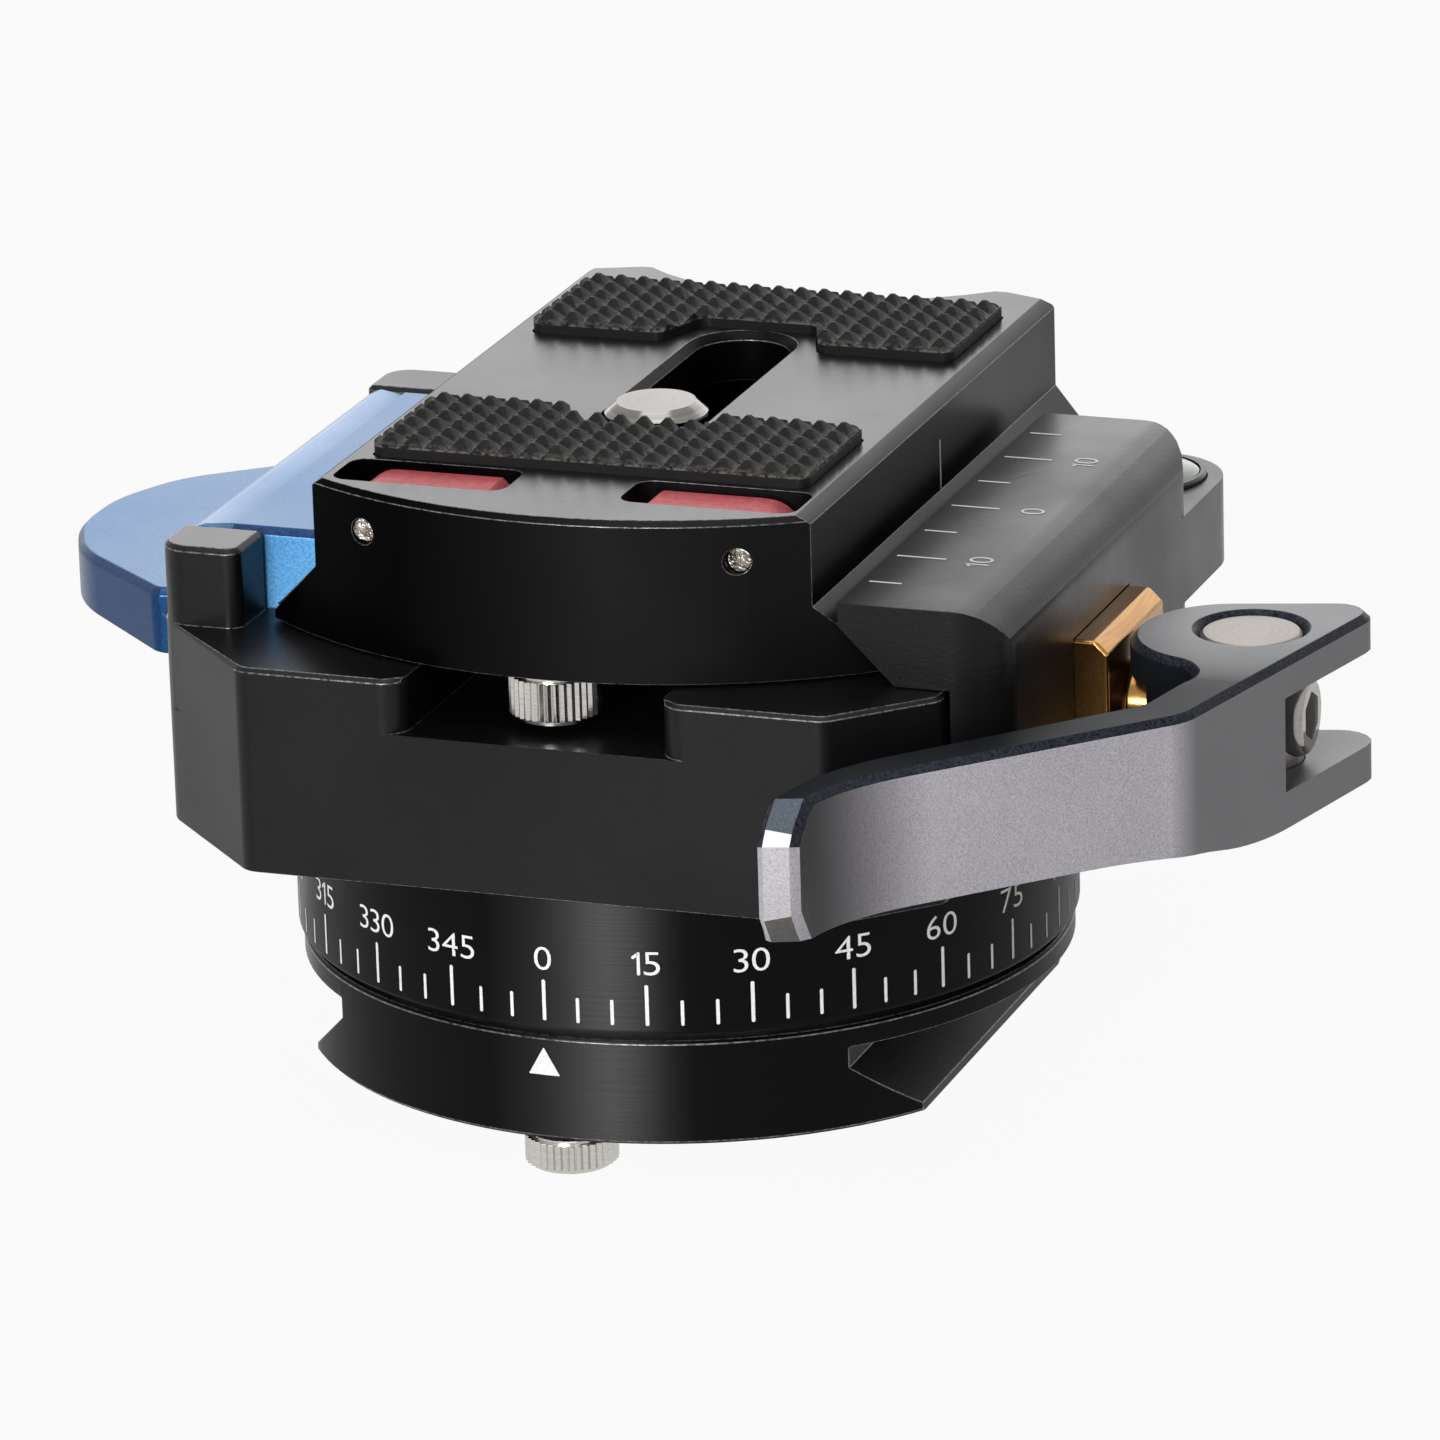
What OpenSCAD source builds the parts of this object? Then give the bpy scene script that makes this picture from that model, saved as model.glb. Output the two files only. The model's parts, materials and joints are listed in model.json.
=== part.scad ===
// Panning clamp for a camera: a round dovetail base that turns under a degree dial, a clamp body
// with a cam-lever jaw and a sprung release jaw, and a quick-release plate with flip-up tabs.
// Frame: origin on the pan axis at the underside of the base, +X towards the cam lever,
// Y along the dovetail (the index mark faces -Y), +Z up. Millimetres.

/* [Base] */
// Radius of the round base
base_r = 23.1; // [22:0.1:23.2]
// Height of the base
base_h = 6.4; // [6:0.1:8]
// Width over the two dovetail lips
dovetail_w = 38; // [36:0.5:39]
// Height of the upright lip below the dovetail slope
base_lip = 0.6; // [0.4:0.1:1]
// Rise and run of the 45 degree dovetail slope of the base
base_slope = 3.2; // [2.4:0.1:3.4]
// Thickness of the round flange above the dovetail
flange_t = 1.35; // [1:0.05:1.8]
// Wall radius of the tripod thread
tripod_r = 4; // [3:0.1:5]
// Depth of the tripod thread
tripod_depth = 9; // [6:0.5:9.5]

/* [Pan bearing] */
// Gap between the base and the dial
dial_gap = 0.5; // [0.3:0.1:1]
// Radius of the bearing boss on the base
boss_r = 15; // [13:0.5:16]
// Radius of the flange that holds the dial down
hub_flange_r = 19; // [17.5:0.1:19.2]
// Thickness of that flange
hub_flange_t = 2.5; // [2:0.1:3]
// Radius of the brake drum
drum_r = 12.5; // [11.5:0.1:13]
// Height of the brake drum above the flange
drum_h = 7; // [6:0.1:7.5]
// Distance of the hub screws from the pan axis
hub_screw_pcr = 8; // [7.5:0.1:9]

/* [Dial] */
// Reach of the dial ring past the round base
dial_over = 0.3; // [0.1:0.1:1.9]
// Height of the dial ring
dial_h = 8.8; // [8:0.1:10]
// Thickness of the web that runs on the boss
web_t = 4.45; // [3.5:0.05:5]
// Distance of the dial screws from the pan axis
dial_screw_pcr = 21; // [20.7:0.1:21.2]

/* [Clamp body] */
// Height of the body from the dial to the deck
body_h = 12.4; // [12:0.1:14]
// Distance from the pan axis to the front and rear faces
body_y = 25.4; // [24.8:0.1:28]
// Reach of the body past the dovetail on the release side
left_out = 6.8; // [6.4:0.1:8]
// Reach of the body past the dovetail on the lever side
right_out = 4; // [3.5:0.1:4.4]
// Half width of the front face between its corner chamfers
front_half = 17.8; // [16:0.1:18.5]
// Half width of the stop-screw channels in the deck
channel_half = 7.8; // [5:0.1:9]
// Depth of those channels
channel_depth = 3.3; // [3.1:0.1:4]
// Distance from the pan axis to the inner end of a channel
channel_end = 8.5; // [7.5:0.1:9.5]

/* [Jaws] */
// Height of both jaws above the deck
jaw_rise = 4.8; // [4.5:0.1:6]
// How far both jaw noses reach in over the plate's dovetail
nose_in = 2.4; // [1.5:0.1:3]
// Half length of the cam-lever jaw
jaw_half = 19.25; // [17:0.25:20]
// Thickness of the jaw wall outside the body
jaw_wall = 3; // [2.6:0.1:4]
// Radius of the long outer edge of the jaw
jaw_edge_r = 3; // [1:0.1:4]
// Half length of the release jaw
release_half = 14.2; // [12:0.1:15]
// Length of the release jaw's block along X
release_depth = 8; // [7.5:0.1:8.4]
// Reach of the thumb tongue past the block
tongue_reach = 13; // [10:0.1:16]
// Thickness of the tongue at its root
tongue_t = 4.3; // [3.8:0.1:4.4]
// Thickness of the tongue at its tip
tongue_tip_t = 3.2; // [2.6:0.1:3.6]
// Length of a fixed post along the dovetail
post_len = 4.3; // [3:0.1:5]
// Thickness of a fixed post across the dovetail
post_w = 5.1; // [4:0.1:5.4]
// Distance of the guide pins from the centre of the jaw
guide_y = 14; // [13.8:0.1:14.6]

/* [Level] */
// Radius of the round end that carries the level
level_end_r = 5; // [4.6:0.1:5.4]
// Radius of the level vial
vial_r = 4; // [3:0.1:4.2]
// Distance of the level from the rear end of the jaw
level_out = 4.65; // [4:0.05:6]

/* [Cam lever] */
// Distance of the lever pivot from the body
pivot_out = 12.3; // [12:0.1:13]
// Height of the lever hub
lever_h = 10.2; // [9.6:0.1:11]
// Height of the fork slot in the hub
fork_gap = 5.7; // [5.3:0.1:6]
// Radius of the cam
cam_r = 5.85; // [5.6:0.05:6]
// How far the cam moves the jaw
cam_lift = 1.8; // [1:0.1:2]
// Angle through which the lever opens
lever_open = 75; // [60:1:75]
// Radius of the lever pin
lever_pin_r = 3; // [2.5:0.1:3.2]
// Half width of the brass cam pad
pad_half = 5.4; // [4:0.1:6]

/* [Quick-release plate] */
// Height of the plate
plate_h = 9.7; // [9:0.1:11]
// Width of the plate at the top
plate_top_w = 30.4; // [29.6:0.1:31]
// Distance from the pan axis to the front corners
plate_front = 19.4; // [18.8:0.1:20]
// Distance from the pan axis to the rear ears
plate_rear = 27.2; // [26:0.1:29]
// Bulge of the curved front
front_bulge = 4.2; // [3.6:0.1:5]
// Depth of the curved recess at the rear
rear_recess = 4.2; // [3:0.1:5]
// Width of the camera screw slot
slot_w = 5.8; // [5.4:0.1:6]
// Radius of the camera screw's thread
cam_screw_r = 3.1; // [3:0.05:3.2]
// Front end of the slot
slot_front = -6.4; // [-6.4:0.1:-5]
// Rear end of the slot
slot_rear = 14.8; // [12:0.1:15.5]
// Thickness of the plate above the screw channel
plate_web = 3; // [2.5:0.1:3.5]
// Height of the rubber pads above the plate
pad_proud = 1.2; // [0.8:0.1:1.4]
// Studs across a pad
stud_columns = 18; // [14:1:22]
// Studs along a pad
stud_rows = 6; // [4:1:8]
// Height of a stud
stud_h = 0.62; // [0.5:0.02:0.7]

/* [Flip-up tabs] */
// Distance of a tab's pin from the middle of the plate
tab_pin_x = 11.4; // [11:0.1:11.6]
// Length of a tab from its pin to its free end
tab_len = 7.5; // [6:0.1:7.6]
// Radius of a tab's round end
tab_r = 2; // [1.5:0.05:2.2]
// Width of a tab
tab_w = 3.8; // [3:0.1:4]

/* [Pan lock] */
// Radius of the lock knob
knob_r = 6; // [4.5:0.1:6.2]
// Length of the knob
knob_len = 9; // [7:0.1:12]
// Radius of the lock screw
lock_screw_r = 2; // [1.5:0.1:2.2]

/* [Hidden] */
$fn = 64;

// Clearances
run_c = 0.05;       // radial, turning and sliding fits
face_c = 0.05;      // between flat running faces
clear_c = 0.3;      // between pieces that must not touch
seat_c = 0.2;       // plate above the deck, jaw wall beside the body
grip_c = 0.2;       // between the plate's slope and a jaw
over = 1;           // how far a cutter passes a face

// Heights
z_dial = base_h + dial_gap;
z_body = z_dial + dial_h;
z_deck = z_body + body_h;
z_jaw = z_deck + jaw_rise;
z_plate = z_deck + seat_c;
z_top = z_plate + plate_h;
z_web = z_dial + web_t;
washer_t = 0.4;
z_boss = z_web + washer_t + face_c;
z_drum = z_boss + hub_flange_t + drum_h;
edge = 0.5;         // broken edges
turned_edge = 0.2;  // broken edges of the base and the dial

// Faces of the body and the jaws, from the dovetail
plate_half = dovetail_w / 2;
body_left = plate_half + left_out;
body_right = plate_half + right_out;
nose_x = plate_half - nose_in;
pivot_x = body_right + pivot_out;

// Dial ring and base keep one outline
dial_r = base_r + dial_over;

// Knurled stop screws, the same under the base and under the plate
stop_head_r = 2.75;
stop_head_h = 2.9;
stop_thread_r = 1.5;
stop_thread_l = 4;
base_stop_y = base_r - 2.2;
plate_stop_front = plate_front + front_bulge - stop_head_r;
plate_stop_rear = plate_rear - rear_recess - stop_head_r - 1;

// Small screws that hold the bearing together
hub_screw_r = 1.5;
hub_screw_head_r = 2.75;
hub_screw_head_h = 3;
hub_screw_grip = 5;
dial_screw_r = 1;
dial_screw_head_r = 1.85;
dial_screw_head_h = 2;
dial_screw_grip = 4.5;
dial_screw_angle = 62;

// Lever, cam and draw bolt
z_lever = z_deck - 1.2;
z_bolt = z_lever - lever_h / 2;
bolt_r = 1.5;
bolt_head_r = 2.4;
bolt_head_h = 2.3;
bolt_thread_l = 8;
bolt_seat = 0.8;
cam_mid = 90 - lever_open / 2;
cam_off = cam_lift / 2 / cos(cam_mid);
cam_c = -cam_off * [cos(cam_mid), sin(cam_mid)];
cam_reach = cam_r + cam_lift / 2;
cam_gap = 0.25;
pad_face_x = pivot_x - cam_reach - cam_gap;

// Lever arm, measured from its pivot: hub flat, bend, flared tip, raised underside
rear_flat = 9.4;
arm_bend = [1.1, -16.3];
arm_inner = [-2.2, -14.9];
flare_outer = [-11.2, -29.2];
flare_inner = [-13.4, -27.2];
tip_y = -38;
tip_in = -17.3;
tip_out = -15;
flare_outer_pull = 4;
flare_inner_pull = 4.2;
tip_bevel = 1.3;
scallop_r = 2.6;
scallop_a = 72;
fork_end = -5.6;
arm_lift = 2.1;
lift_near = -5;
lift_far = -21;

// Cam-lever jaw and what guides it
jaw_in_x = body_right + seat_c;
jaw_out_x = jaw_in_x + jaw_wall;
jaw_foot_z = z_body + 0.5;
pad_sink = 1.5;
pad_boss = pivot_x - lever_pin_r - cam_lift - clear_c - pad_face_x;
pad_seat_x = jaw_out_x - pad_sink;
pad_top_z = z_deck - 1;
guide_r = 2;
guide_l = 9.5;
guide_in = body_right - guide_l;
guide_seat = 1.7;
spring_pocket_r = 3.2;
spring_pocket_l = 5.5;
level_x = jaw_out_x - level_end_r;
level_y = jaw_half + level_out;
level_top = z_deck - 0.2;
level_h = 5.4;
vial_h = 3.2;

// Release jaw
release_back = nose_x + release_depth;
hinge_in = 5.9;
release_px = nose_x + hinge_in;
release_pz = z_deck - 1.6;
release_pin_r = 1.5;
pocket_floor = z_deck - 5.4;
pocket_half = release_half + clear_c;
pocket_in = nose_x + 2.4;
tongue_top = z_deck + 0.3;
tongue_half = release_half - 1.4;
tongue_root = 4.4;
tongue_r = 9;
release_pin_half = pocket_half + 3.7;
coil_half = 3;

// Jaw slope: distance from the pan axis at height z, parallel to the plate's flare
plate_lip = 0.5;
plate_flare = plate_half - plate_top_w / 2;
front_r = circle_through(plate_top_w / 2, front_bulge);
function jaw_slope(z) = plate_half + z_plate + plate_lip + grip_c * sqrt(2) - z;
nose_z = jaw_slope(0) - nose_x;

// Camera screw and its channel
keyhole_r = cam_screw_r + clear_c;
screw_neck_r = slot_w / 2 - clear_c;
screw_y = slot_front + keyhole_r;
screw_far = slot_rear - slot_w / 2;
slot_edge = 0.5;
cam_screw_proud = 0.95;
screw_head_r = 5;
screw_head_h = 2.6;
screw_lift = 0.3;
channel_r = screw_head_r + clear_c;
z_channel = z_top - plate_web;
z_head = z_plate + screw_lift;

// Tabs and their slots
tab_pin_r = 0.75;
tab_sink = 0.45;
z_tab = z_top - tab_sink - tab_r;
tab_slot_in = tab_pin_x - tab_len - 0.4;
tab_slot_out = tab_pin_x + tab_r + 0.75;
tab_y = -17.3;
tab_slot_w = tab_w + 0.4;

// Rubber pads and the recesses that hold them
pad_w = plate_top_w - 3.6;
pad_lobe = 10.4;
notch_half = 5;
pad_margin = 0.5;
pad_sink_z = 1;
pad_rim = 0.25;
stud_tip = 0.25;
stud_valley = 0.12;
front_pad_y = tab_y + tab_slot_w / 2 + pad_margin;
rear_pad_y = slot_rear + 7.1;

// Pan lock
z_lock = z_body + 3.3;
plug_gap = 0.5;
plug_len = 5;
plug_tip = drum_r + plug_gap;
knob_y = body_y + 1;

function unit(v) = v / norm(v);
function polar(c, r, a) = c + r * [cos(a), sin(a)];
function arc(c, r, a0, a1, n = 12) = [for (i = [0:n]) polar(c, r, a0 + (a1 - a0) * i / n)];
// Arc that rounds the corner b between its neighbours a and c
function corner(a, b, c, r, n = 6) =
    let (u = unit(a - b), w = unit(c - b), half = acos(u * w) / 2,
        m = b + unit(u + w) * r / sin(half),
        p = b + u * r / tan(half) - m, q = b + w * r / tan(half) - m,
        a0 = atan2(p.y, p.x), turn = (atan2(q.y, q.x) - a0 + 540) % 360 - 180)
    r == 0 ? [b] : arc(m, r, a0, a0 + turn, n);
// Outline with every corner rounded: each entry is [point, radius]
function rounded(list) = let (n = len(list))
    [for (i = [0:n - 1]) each corner(list[(i + n - 1) % n][0], list[i][0], list[(i + 1) % n][0], list[i][1])];
function flip_y(list) = [for (i = [len(list) - 1:-1:0]) [[list[i][0].x, -list[i][0].y], list[i][1]]];
function bezier(a, b, c, n = 10) =
    [for (i = [0:n]) let (t = i / n) a * (1 - t) * (1 - t) + b * 2 * t * (1 - t) + c * t * t];
function circle_through(half, rise) = (half * half + rise * rise) / (2 * rise);

// Solid between two heights
module prism(z0, z1) {
    translate([0, 0, z0]) linear_extrude(z1 - z0) children();
}

// Profile drawn as (x, z), drawn out along Y from -half to +half
module along_y(half) {
    rotate([90, 0, 0]) linear_extrude(2 * half, center = true) children();
}

// Round bar along X between x0 and x1
module bar_x(x0, x1, r) {
    translate([x0, 0, 0]) rotate([0, 90, 0]) cylinder(r = r, h = x1 - x0);
}

// Round bar along Y between y0 and y1
module bar_y(y0, y1, r) {
    translate([0, y0, 0]) rotate([-90, 0, 0]) cylinder(r = r, h = y1 - y0);
}

// Cylinder with a broken edge at both ends
module drum(r, h, e = edge) {
    rotate_extrude() polygon([[0, 0], [r - e, 0], [r, e], [r, h - e], [r - e, h], [0, h]]);
}

// Ring with square edges
module ring(r_in, r_out, h) {
    difference() {
        cylinder(r = r_out, h = h);
        translate([0, 0, -over]) cylinder(r = r_in, h = h + 2 * over);
    }
}

// Rectangle with round corners, centred
module soft_rect(w, l, r) {
    polygon(rounded([[[-w / 2, -l / 2], r], [[w / 2, -l / 2], r], [[w / 2, l / 2], r], [[-w / 2, l / 2], r]]));
}

// Round wire of six sides along a list of points, as one closed skin
module wire(path, r) {
    sides = 6;
    n = len(path);
    rings = [for (i = [0:n - 1])
        let (t = unit(path[min(i + 1, n - 1)] - path[max(i - 1, 0)]),
            u = unit(cross(t, [1, 0.2, 0.1])), w = cross(t, u))
        [for (k = [0:sides - 1]) path[i] + r * (cos(60 * k) * u + sin(60 * k) * w)]];
    walls = [for (i = [0:n - 2], k = [0:sides - 1])
        let (a = i * sides + k, b = i * sides + (k + 1) % sides)
        each [[a, b, b + sides], [a, b + sides, a + sides]]];
    start_cap = [for (k = [1:sides - 2]) [0, k + 1, k]];
    last = (n - 1) * sides;
    end_cap = [for (k = [1:sides - 2]) [last, last + k, last + k + 1]];
    polyhedron([for (ring_points = rings) each ring_points], concat(walls, start_cap, end_cap));
}

// Coil along X between x0 and x1
function coil_x(x0, x1, r, turns) = [for (i = [0:8 * turns])
    [x0 + (x1 - x0) * i / (8 * turns), r * cos(45 * i), r * sin(45 * i)]];

// Knurled stop screw: head below z = 0, thread above
module stop_screw() {
    ribs = 36;
    groove = 0.18;
    rim = 0.3;
    prism(rim - stop_head_h, -rim) polygon([for (k = [0:2 * ribs - 1])
        polar([0, 0], stop_head_r - groove * (k % 2), k * 180 / ribs)]);
    translate([0, 0, -stop_head_h]) cylinder(r = stop_head_r - 2 * groove, h = stop_head_h);
    cylinder(r = stop_thread_r, h = stop_thread_l);
}

module stop_hole() {
    translate([0, 0, -over]) cylinder(r = stop_thread_r + run_c, h = stop_thread_l + clear_c + over);
}

module at_hub_screws() {
    for (k = [0:3]) rotate(45 + 90 * k) translate([hub_screw_pcr, 0, 0]) children();
}

module at_dial_screws() {
    for (a = [dial_screw_angle, 180 - dial_screw_angle, 180 + dial_screw_angle, -dial_screw_angle])
        rotate(a) translate([dial_screw_pcr, 0, 0]) children();
}

// Round base: dovetail flats on both sides, bearing boss on top
module base_plate() color("#202124") {
    difference() {
        union() {
            drum(base_r, base_h, turned_edge);
            cylinder(r = boss_r, h = z_boss);
        }
        for (side = [0, 1]) mirror([side, 0, 0]) along_y(base_r + over) polygon([
            [plate_half, -over], [plate_half, base_lip], [plate_half - base_slope, base_lip + base_slope],
            [plate_half - base_slope, base_h - flange_t], [base_r + over, base_h - flange_t],
            [base_r + over, -over]]);
        translate([0, 0, -over]) cylinder(r = tripod_r, h = tripod_depth + over);
        for (side = [-1, 1]) translate([0, side * base_stop_y, 0]) stop_hole();
        at_hub_screws() translate([0, 0, z_boss - hub_screw_grip - clear_c])
            cylinder(r = hub_screw_r + run_c, h = hub_screw_grip + clear_c + over);
    }
}

module base_stop_screws() color("#b9bcc0") {
    for (side = [-1, 1]) translate([0, side * base_stop_y, 0]) stop_screw();
}

// Flange that holds the dial down, with the brake drum above it
module pan_hub() color("#9a9da1") {
    translate([0, 0, z_boss]) difference() {
        union() {
            cylinder(r = hub_flange_r, h = hub_flange_t);
            drum(drum_r, hub_flange_t + drum_h);
        }
        at_hub_screws() {
            translate([0, 0, -over]) cylinder(r = hub_screw_r + run_c, h = hub_flange_t + drum_h + 2 * over);
            translate([0, 0, hub_flange_t + drum_h - hub_screw_head_h])
                cylinder(r = hub_screw_head_r + run_c, h = hub_screw_head_h + over);
        }
    }
}

module hub_screws() color("#8f9296") {
    at_hub_screws() difference() {
        union() {
            translate([0, 0, z_boss - hub_screw_grip]) cylinder(r = hub_screw_r, h = hub_screw_grip + z_drum - z_boss);
            translate([0, 0, z_drum - hub_screw_head_h]) cylinder(r = hub_screw_head_r, h = hub_screw_head_h);
        }
        translate([0, 0, z_drum - 1.5]) cylinder(r = 1.4, h = 1.5 + over, $fn = 6);
    }
}

module lower_washer() color("#e8e6df") {
    translate([0, 0, base_h]) ring(boss_r + clear_c, base_r - 1.5, dial_gap - face_c);
}

module upper_washer() color("#e8e6df") {
    translate([0, 0, z_boss - washer_t]) ring(boss_r + clear_c, hub_flange_r, washer_t);
}

// Degree dial: a web that runs on the boss and a wall that hides the flange
module dial_ring() color("#1d1e20") {
    difference() {
        translate([0, 0, z_dial]) drum(dial_r, dial_h, turned_edge);
        translate([0, 0, z_dial - over]) cylinder(r = boss_r + run_c, h = dial_h + 2 * over);
        translate([0, 0, z_web]) cylinder(r = hub_flange_r + clear_c, h = dial_h);
        at_dial_screws() {
            translate([0, 0, z_dial - over]) cylinder(r = dial_screw_r + run_c, h = dial_h + 2 * over);
            translate([0, 0, z_dial - over]) cylinder(r = dial_screw_head_r + run_c, h = dial_screw_head_h + over);
        }
    }
}

module dial_screws() color("#8f9296") {
    at_dial_screws() {
        translate([0, 0, z_dial]) cylinder(r = dial_screw_r, h = dial_h + dial_screw_grip);
        translate([0, 0, z_dial]) cylinder(r = dial_screw_head_r, h = dial_screw_head_h);
    }
}

// Plan of the body: chamfered corners, softened edges
module body_plan() {
    left_y = body_y - (body_left - front_half);
    right_y = body_y - (body_right - front_half);
    front = [[[-body_left, -left_y], 2.5], [[-front_half, -body_y], 1.5], [[front_half, -body_y], 1.5],
        [[body_right, -right_y], 1]];
    polygon(rounded(concat(front, flip_y(front))));
}

// Open channel in the deck for a stop screw, its mouth corners softened
module stop_channel() {
    flare = 1.5;
    z0 = z_deck - channel_depth;
    prism(z0, z_deck + over) {
        translate([-channel_half, -body_y - over]) square([2 * channel_half, body_y + over - channel_end]);
        for (side = [0, 1]) mirror([side, 0]) difference() {
            translate([channel_half - 0.01, -body_y - over]) square([flare, flare + over]);
            translate([channel_half + flare, -body_y + flare]) circle(flare);
        }
    }
}

module body_post() {
    prism(pocket_floor, z_jaw) translate([-body_left + post_w / 2 + 0.3, -pocket_half - post_len / 2])
        polygon(rounded([[[-post_w / 2, -post_len / 2], 1.8], [[post_w / 2, -post_len / 2], 0.9],
            [[post_w / 2, post_len / 2], 0.4], [[-post_w / 2, post_len / 2], 0.6]]));
}

// Clamp body: deck, fixed posts, release pocket, bores for the bolt, the guides and the pan lock
module clamp_body() color("#1b1c1f") {
    difference() {
        union() {
            prism(z_body, z_deck) body_plan();
            for (side = [0, 1]) mirror([0, side, 0]) body_post();
        }
        for (side = [0, 1]) mirror([0, side, 0]) stop_channel();
        translate([-body_left - over, -pocket_half, pocket_floor])
            cube([body_left + over - pocket_in, 2 * pocket_half, z_jaw]);
        translate([-release_px, 0, release_pz])
            bar_y(-release_pin_half, body_y + over, release_pin_r + run_c);
        translate([0, 0, z_body - over])
            cylinder(r = drum_r + clear_c, h = z_drum + clear_c - z_body + over);
        at_dial_screws() translate([0, 0, z_body - over])
            cylinder(r = dial_screw_r + run_c, h = dial_screw_grip + clear_c + over);
        translate([0, 0, z_bolt]) bar_x(body_right - bolt_thread_l - clear_c, body_right + over, bolt_r + run_c);
        for (side = [-1, 1]) translate([0, side * guide_y, z_bolt]) {
            bar_x(guide_in - 1, body_right + over, guide_r + run_c);
            bar_x(body_right - spring_pocket_l, body_right + over, spring_pocket_r);
        }
        translate([0, 0, z_lock]) bar_y(0, body_y + over, lock_screw_r + run_c);
        translate([level_x - level_end_r - clear_c, jaw_half - 2, level_top - level_h - clear_c])
            cube([body_right, body_y, body_h]);
    }
}

// Draw bolt: carries the lever pin and holds it to the body
module draw_bolt() color("#c4c6c9") {
    translate([0, 0, z_bolt]) difference() {
        union() {
            bar_x(body_right - bolt_thread_l, pivot_x + bolt_seat, bolt_r);
            bar_x(pivot_x + bolt_seat, pivot_x + bolt_seat + bolt_head_h, bolt_head_r);
        }
        translate([pivot_x + bolt_seat + 0.8, 0, 0]) rotate([0, 90, 0]) cylinder(r = 1.5, h = bolt_head_h, $fn = 6);
    }
}

module lever_pin() color("#c9c6c0") {
    recess = 0.2;
    difference() {
        translate([pivot_x, 0, z_lever - lever_h + recess]) drum(lever_pin_r, lever_h - 2 * recess, 0.2);
        translate([0, 0, z_bolt]) {
            bar_x(pivot_x - 2 * lever_pin_r, pivot_x + 2 * lever_pin_r, bolt_r + run_c);
            bar_x(pivot_x + bolt_seat, pivot_x + 2 * lever_pin_r, bolt_head_r + run_c);
        }
    }
}

module release_pin() color("#c4c6c9") {
    translate([-release_px, 0, release_pz]) bar_y(-release_pin_half, release_pin_half, release_pin_r);
}

// Compression springs round the guide pins push the jaw open
module return_springs() color("#b4b7bb") {
    wire_r = 0.25;
    for (side = [-1, 1]) translate([0, side * guide_y, z_bolt])
        wire(coil_x(body_right - spring_pocket_l + wire_r + face_c, jaw_in_x - wire_r - face_c,
            spring_pocket_r - wire_r - 0.2, 6), wire_r);
}

// Torsion spring round the hinge pin holds the release jaw shut
module release_spring() color("#b4b7bb") {
    wire_r = 0.25;
    translate([-release_px, 0, release_pz]) rotate(90)
        wire(coil_x(-coil_half + wire_r + 0.1, coil_half - wire_r - 0.1, release_pin_r + wire_r + 0.25, 5), wire_r);
}

// Plan of the lever about its pivot: cam, rear flat, bent arm with a flared tip, scallop
module lever_plan() {
    scallop_c = polar(cam_c, cam_r + scallop_r, scallop_a + 180);
    scallop_end = -30;
    flat_a = 180 - lever_open;
    flat_start = polar(cam_c, cam_r, flat_a);
    rear_corner = flat_start + rear_flat * [sin(flat_a), -cos(flat_a)];
    polygon(concat(arc(cam_c, cam_r, scallop_a + 180, flat_a, 28),
        corner(flat_start, rear_corner, arm_bend, 2),
        corner(rear_corner, arm_bend, flare_outer, 4),
        bezier(flare_outer, [tip_out, flare_outer.y - flare_outer_pull], [tip_out, tip_y + 0.6]),
        bezier([tip_in, tip_y], [tip_in + 0.1, flare_inner.y - flare_inner_pull], flare_inner),
        corner(flare_inner, arm_inner, polar(scallop_c, scallop_r, scallop_end), 1),
        arc(scallop_c, scallop_r, scallop_end, scallop_a - 2)));
}

// Cam lever: forked hub, arm whose underside sweeps up, bevelled tip
module cam_lever() color("#77767a") {
    lift_mid = (lift_near + lift_far) / 2;
    lift_pull = (lift_near - lift_far) / 4;
    far = 2 * tip_y;
    translate([pivot_x, 0, z_lever - lever_h]) difference() {
        prism(0, lever_h) lever_plan();
        translate([0, 0, -over]) cylinder(r = lever_pin_r + run_c, h = lever_h + 2 * over);
        translate([far, fork_end, (lever_h - fork_gap) / 2]) cube([-2 * far, -far, fork_gap]);
        rotate([90, 0, 90]) linear_extrude(-2 * far, center = true) polygon(concat(
            bezier([lift_near, 0], [lift_near - lift_pull, 0], [lift_mid, arm_lift / 2], 8),
            bezier([lift_mid, arm_lift / 2], [lift_far + lift_pull, arm_lift], [lift_far, arm_lift], 8),
            [[far, arm_lift], [far, -over], [lift_near, -over]]));
        for (z = [arm_lift, lever_h]) translate([(tip_in + tip_out) / 2, tip_y - 0.2, z]) rotate([45, 0, 0])
            cube([-tip_y, tip_bevel * sqrt(2), tip_bevel * sqrt(2)], center = true);
    }
}

// Section of the cam-lever jaw: nose, undercut, foot on the deck, wall outside the body.
// The outer wall runs past its face, which the plan of the jaw then cuts
module jaw_section() {
    edge_z = z_jaw - jaw_edge_r;
    polygon(concat([[nose_x, z_jaw], [nose_x, nose_z], [jaw_slope(z_deck + face_c), z_deck + face_c],
        [jaw_in_x, z_deck + face_c], [jaw_in_x, jaw_foot_z], [jaw_out_x + over, jaw_foot_z],
        [jaw_out_x + over, edge_z]],
        arc([jaw_out_x - jaw_edge_r, edge_z], jaw_edge_r, 0, 90, 10)));
}

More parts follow.
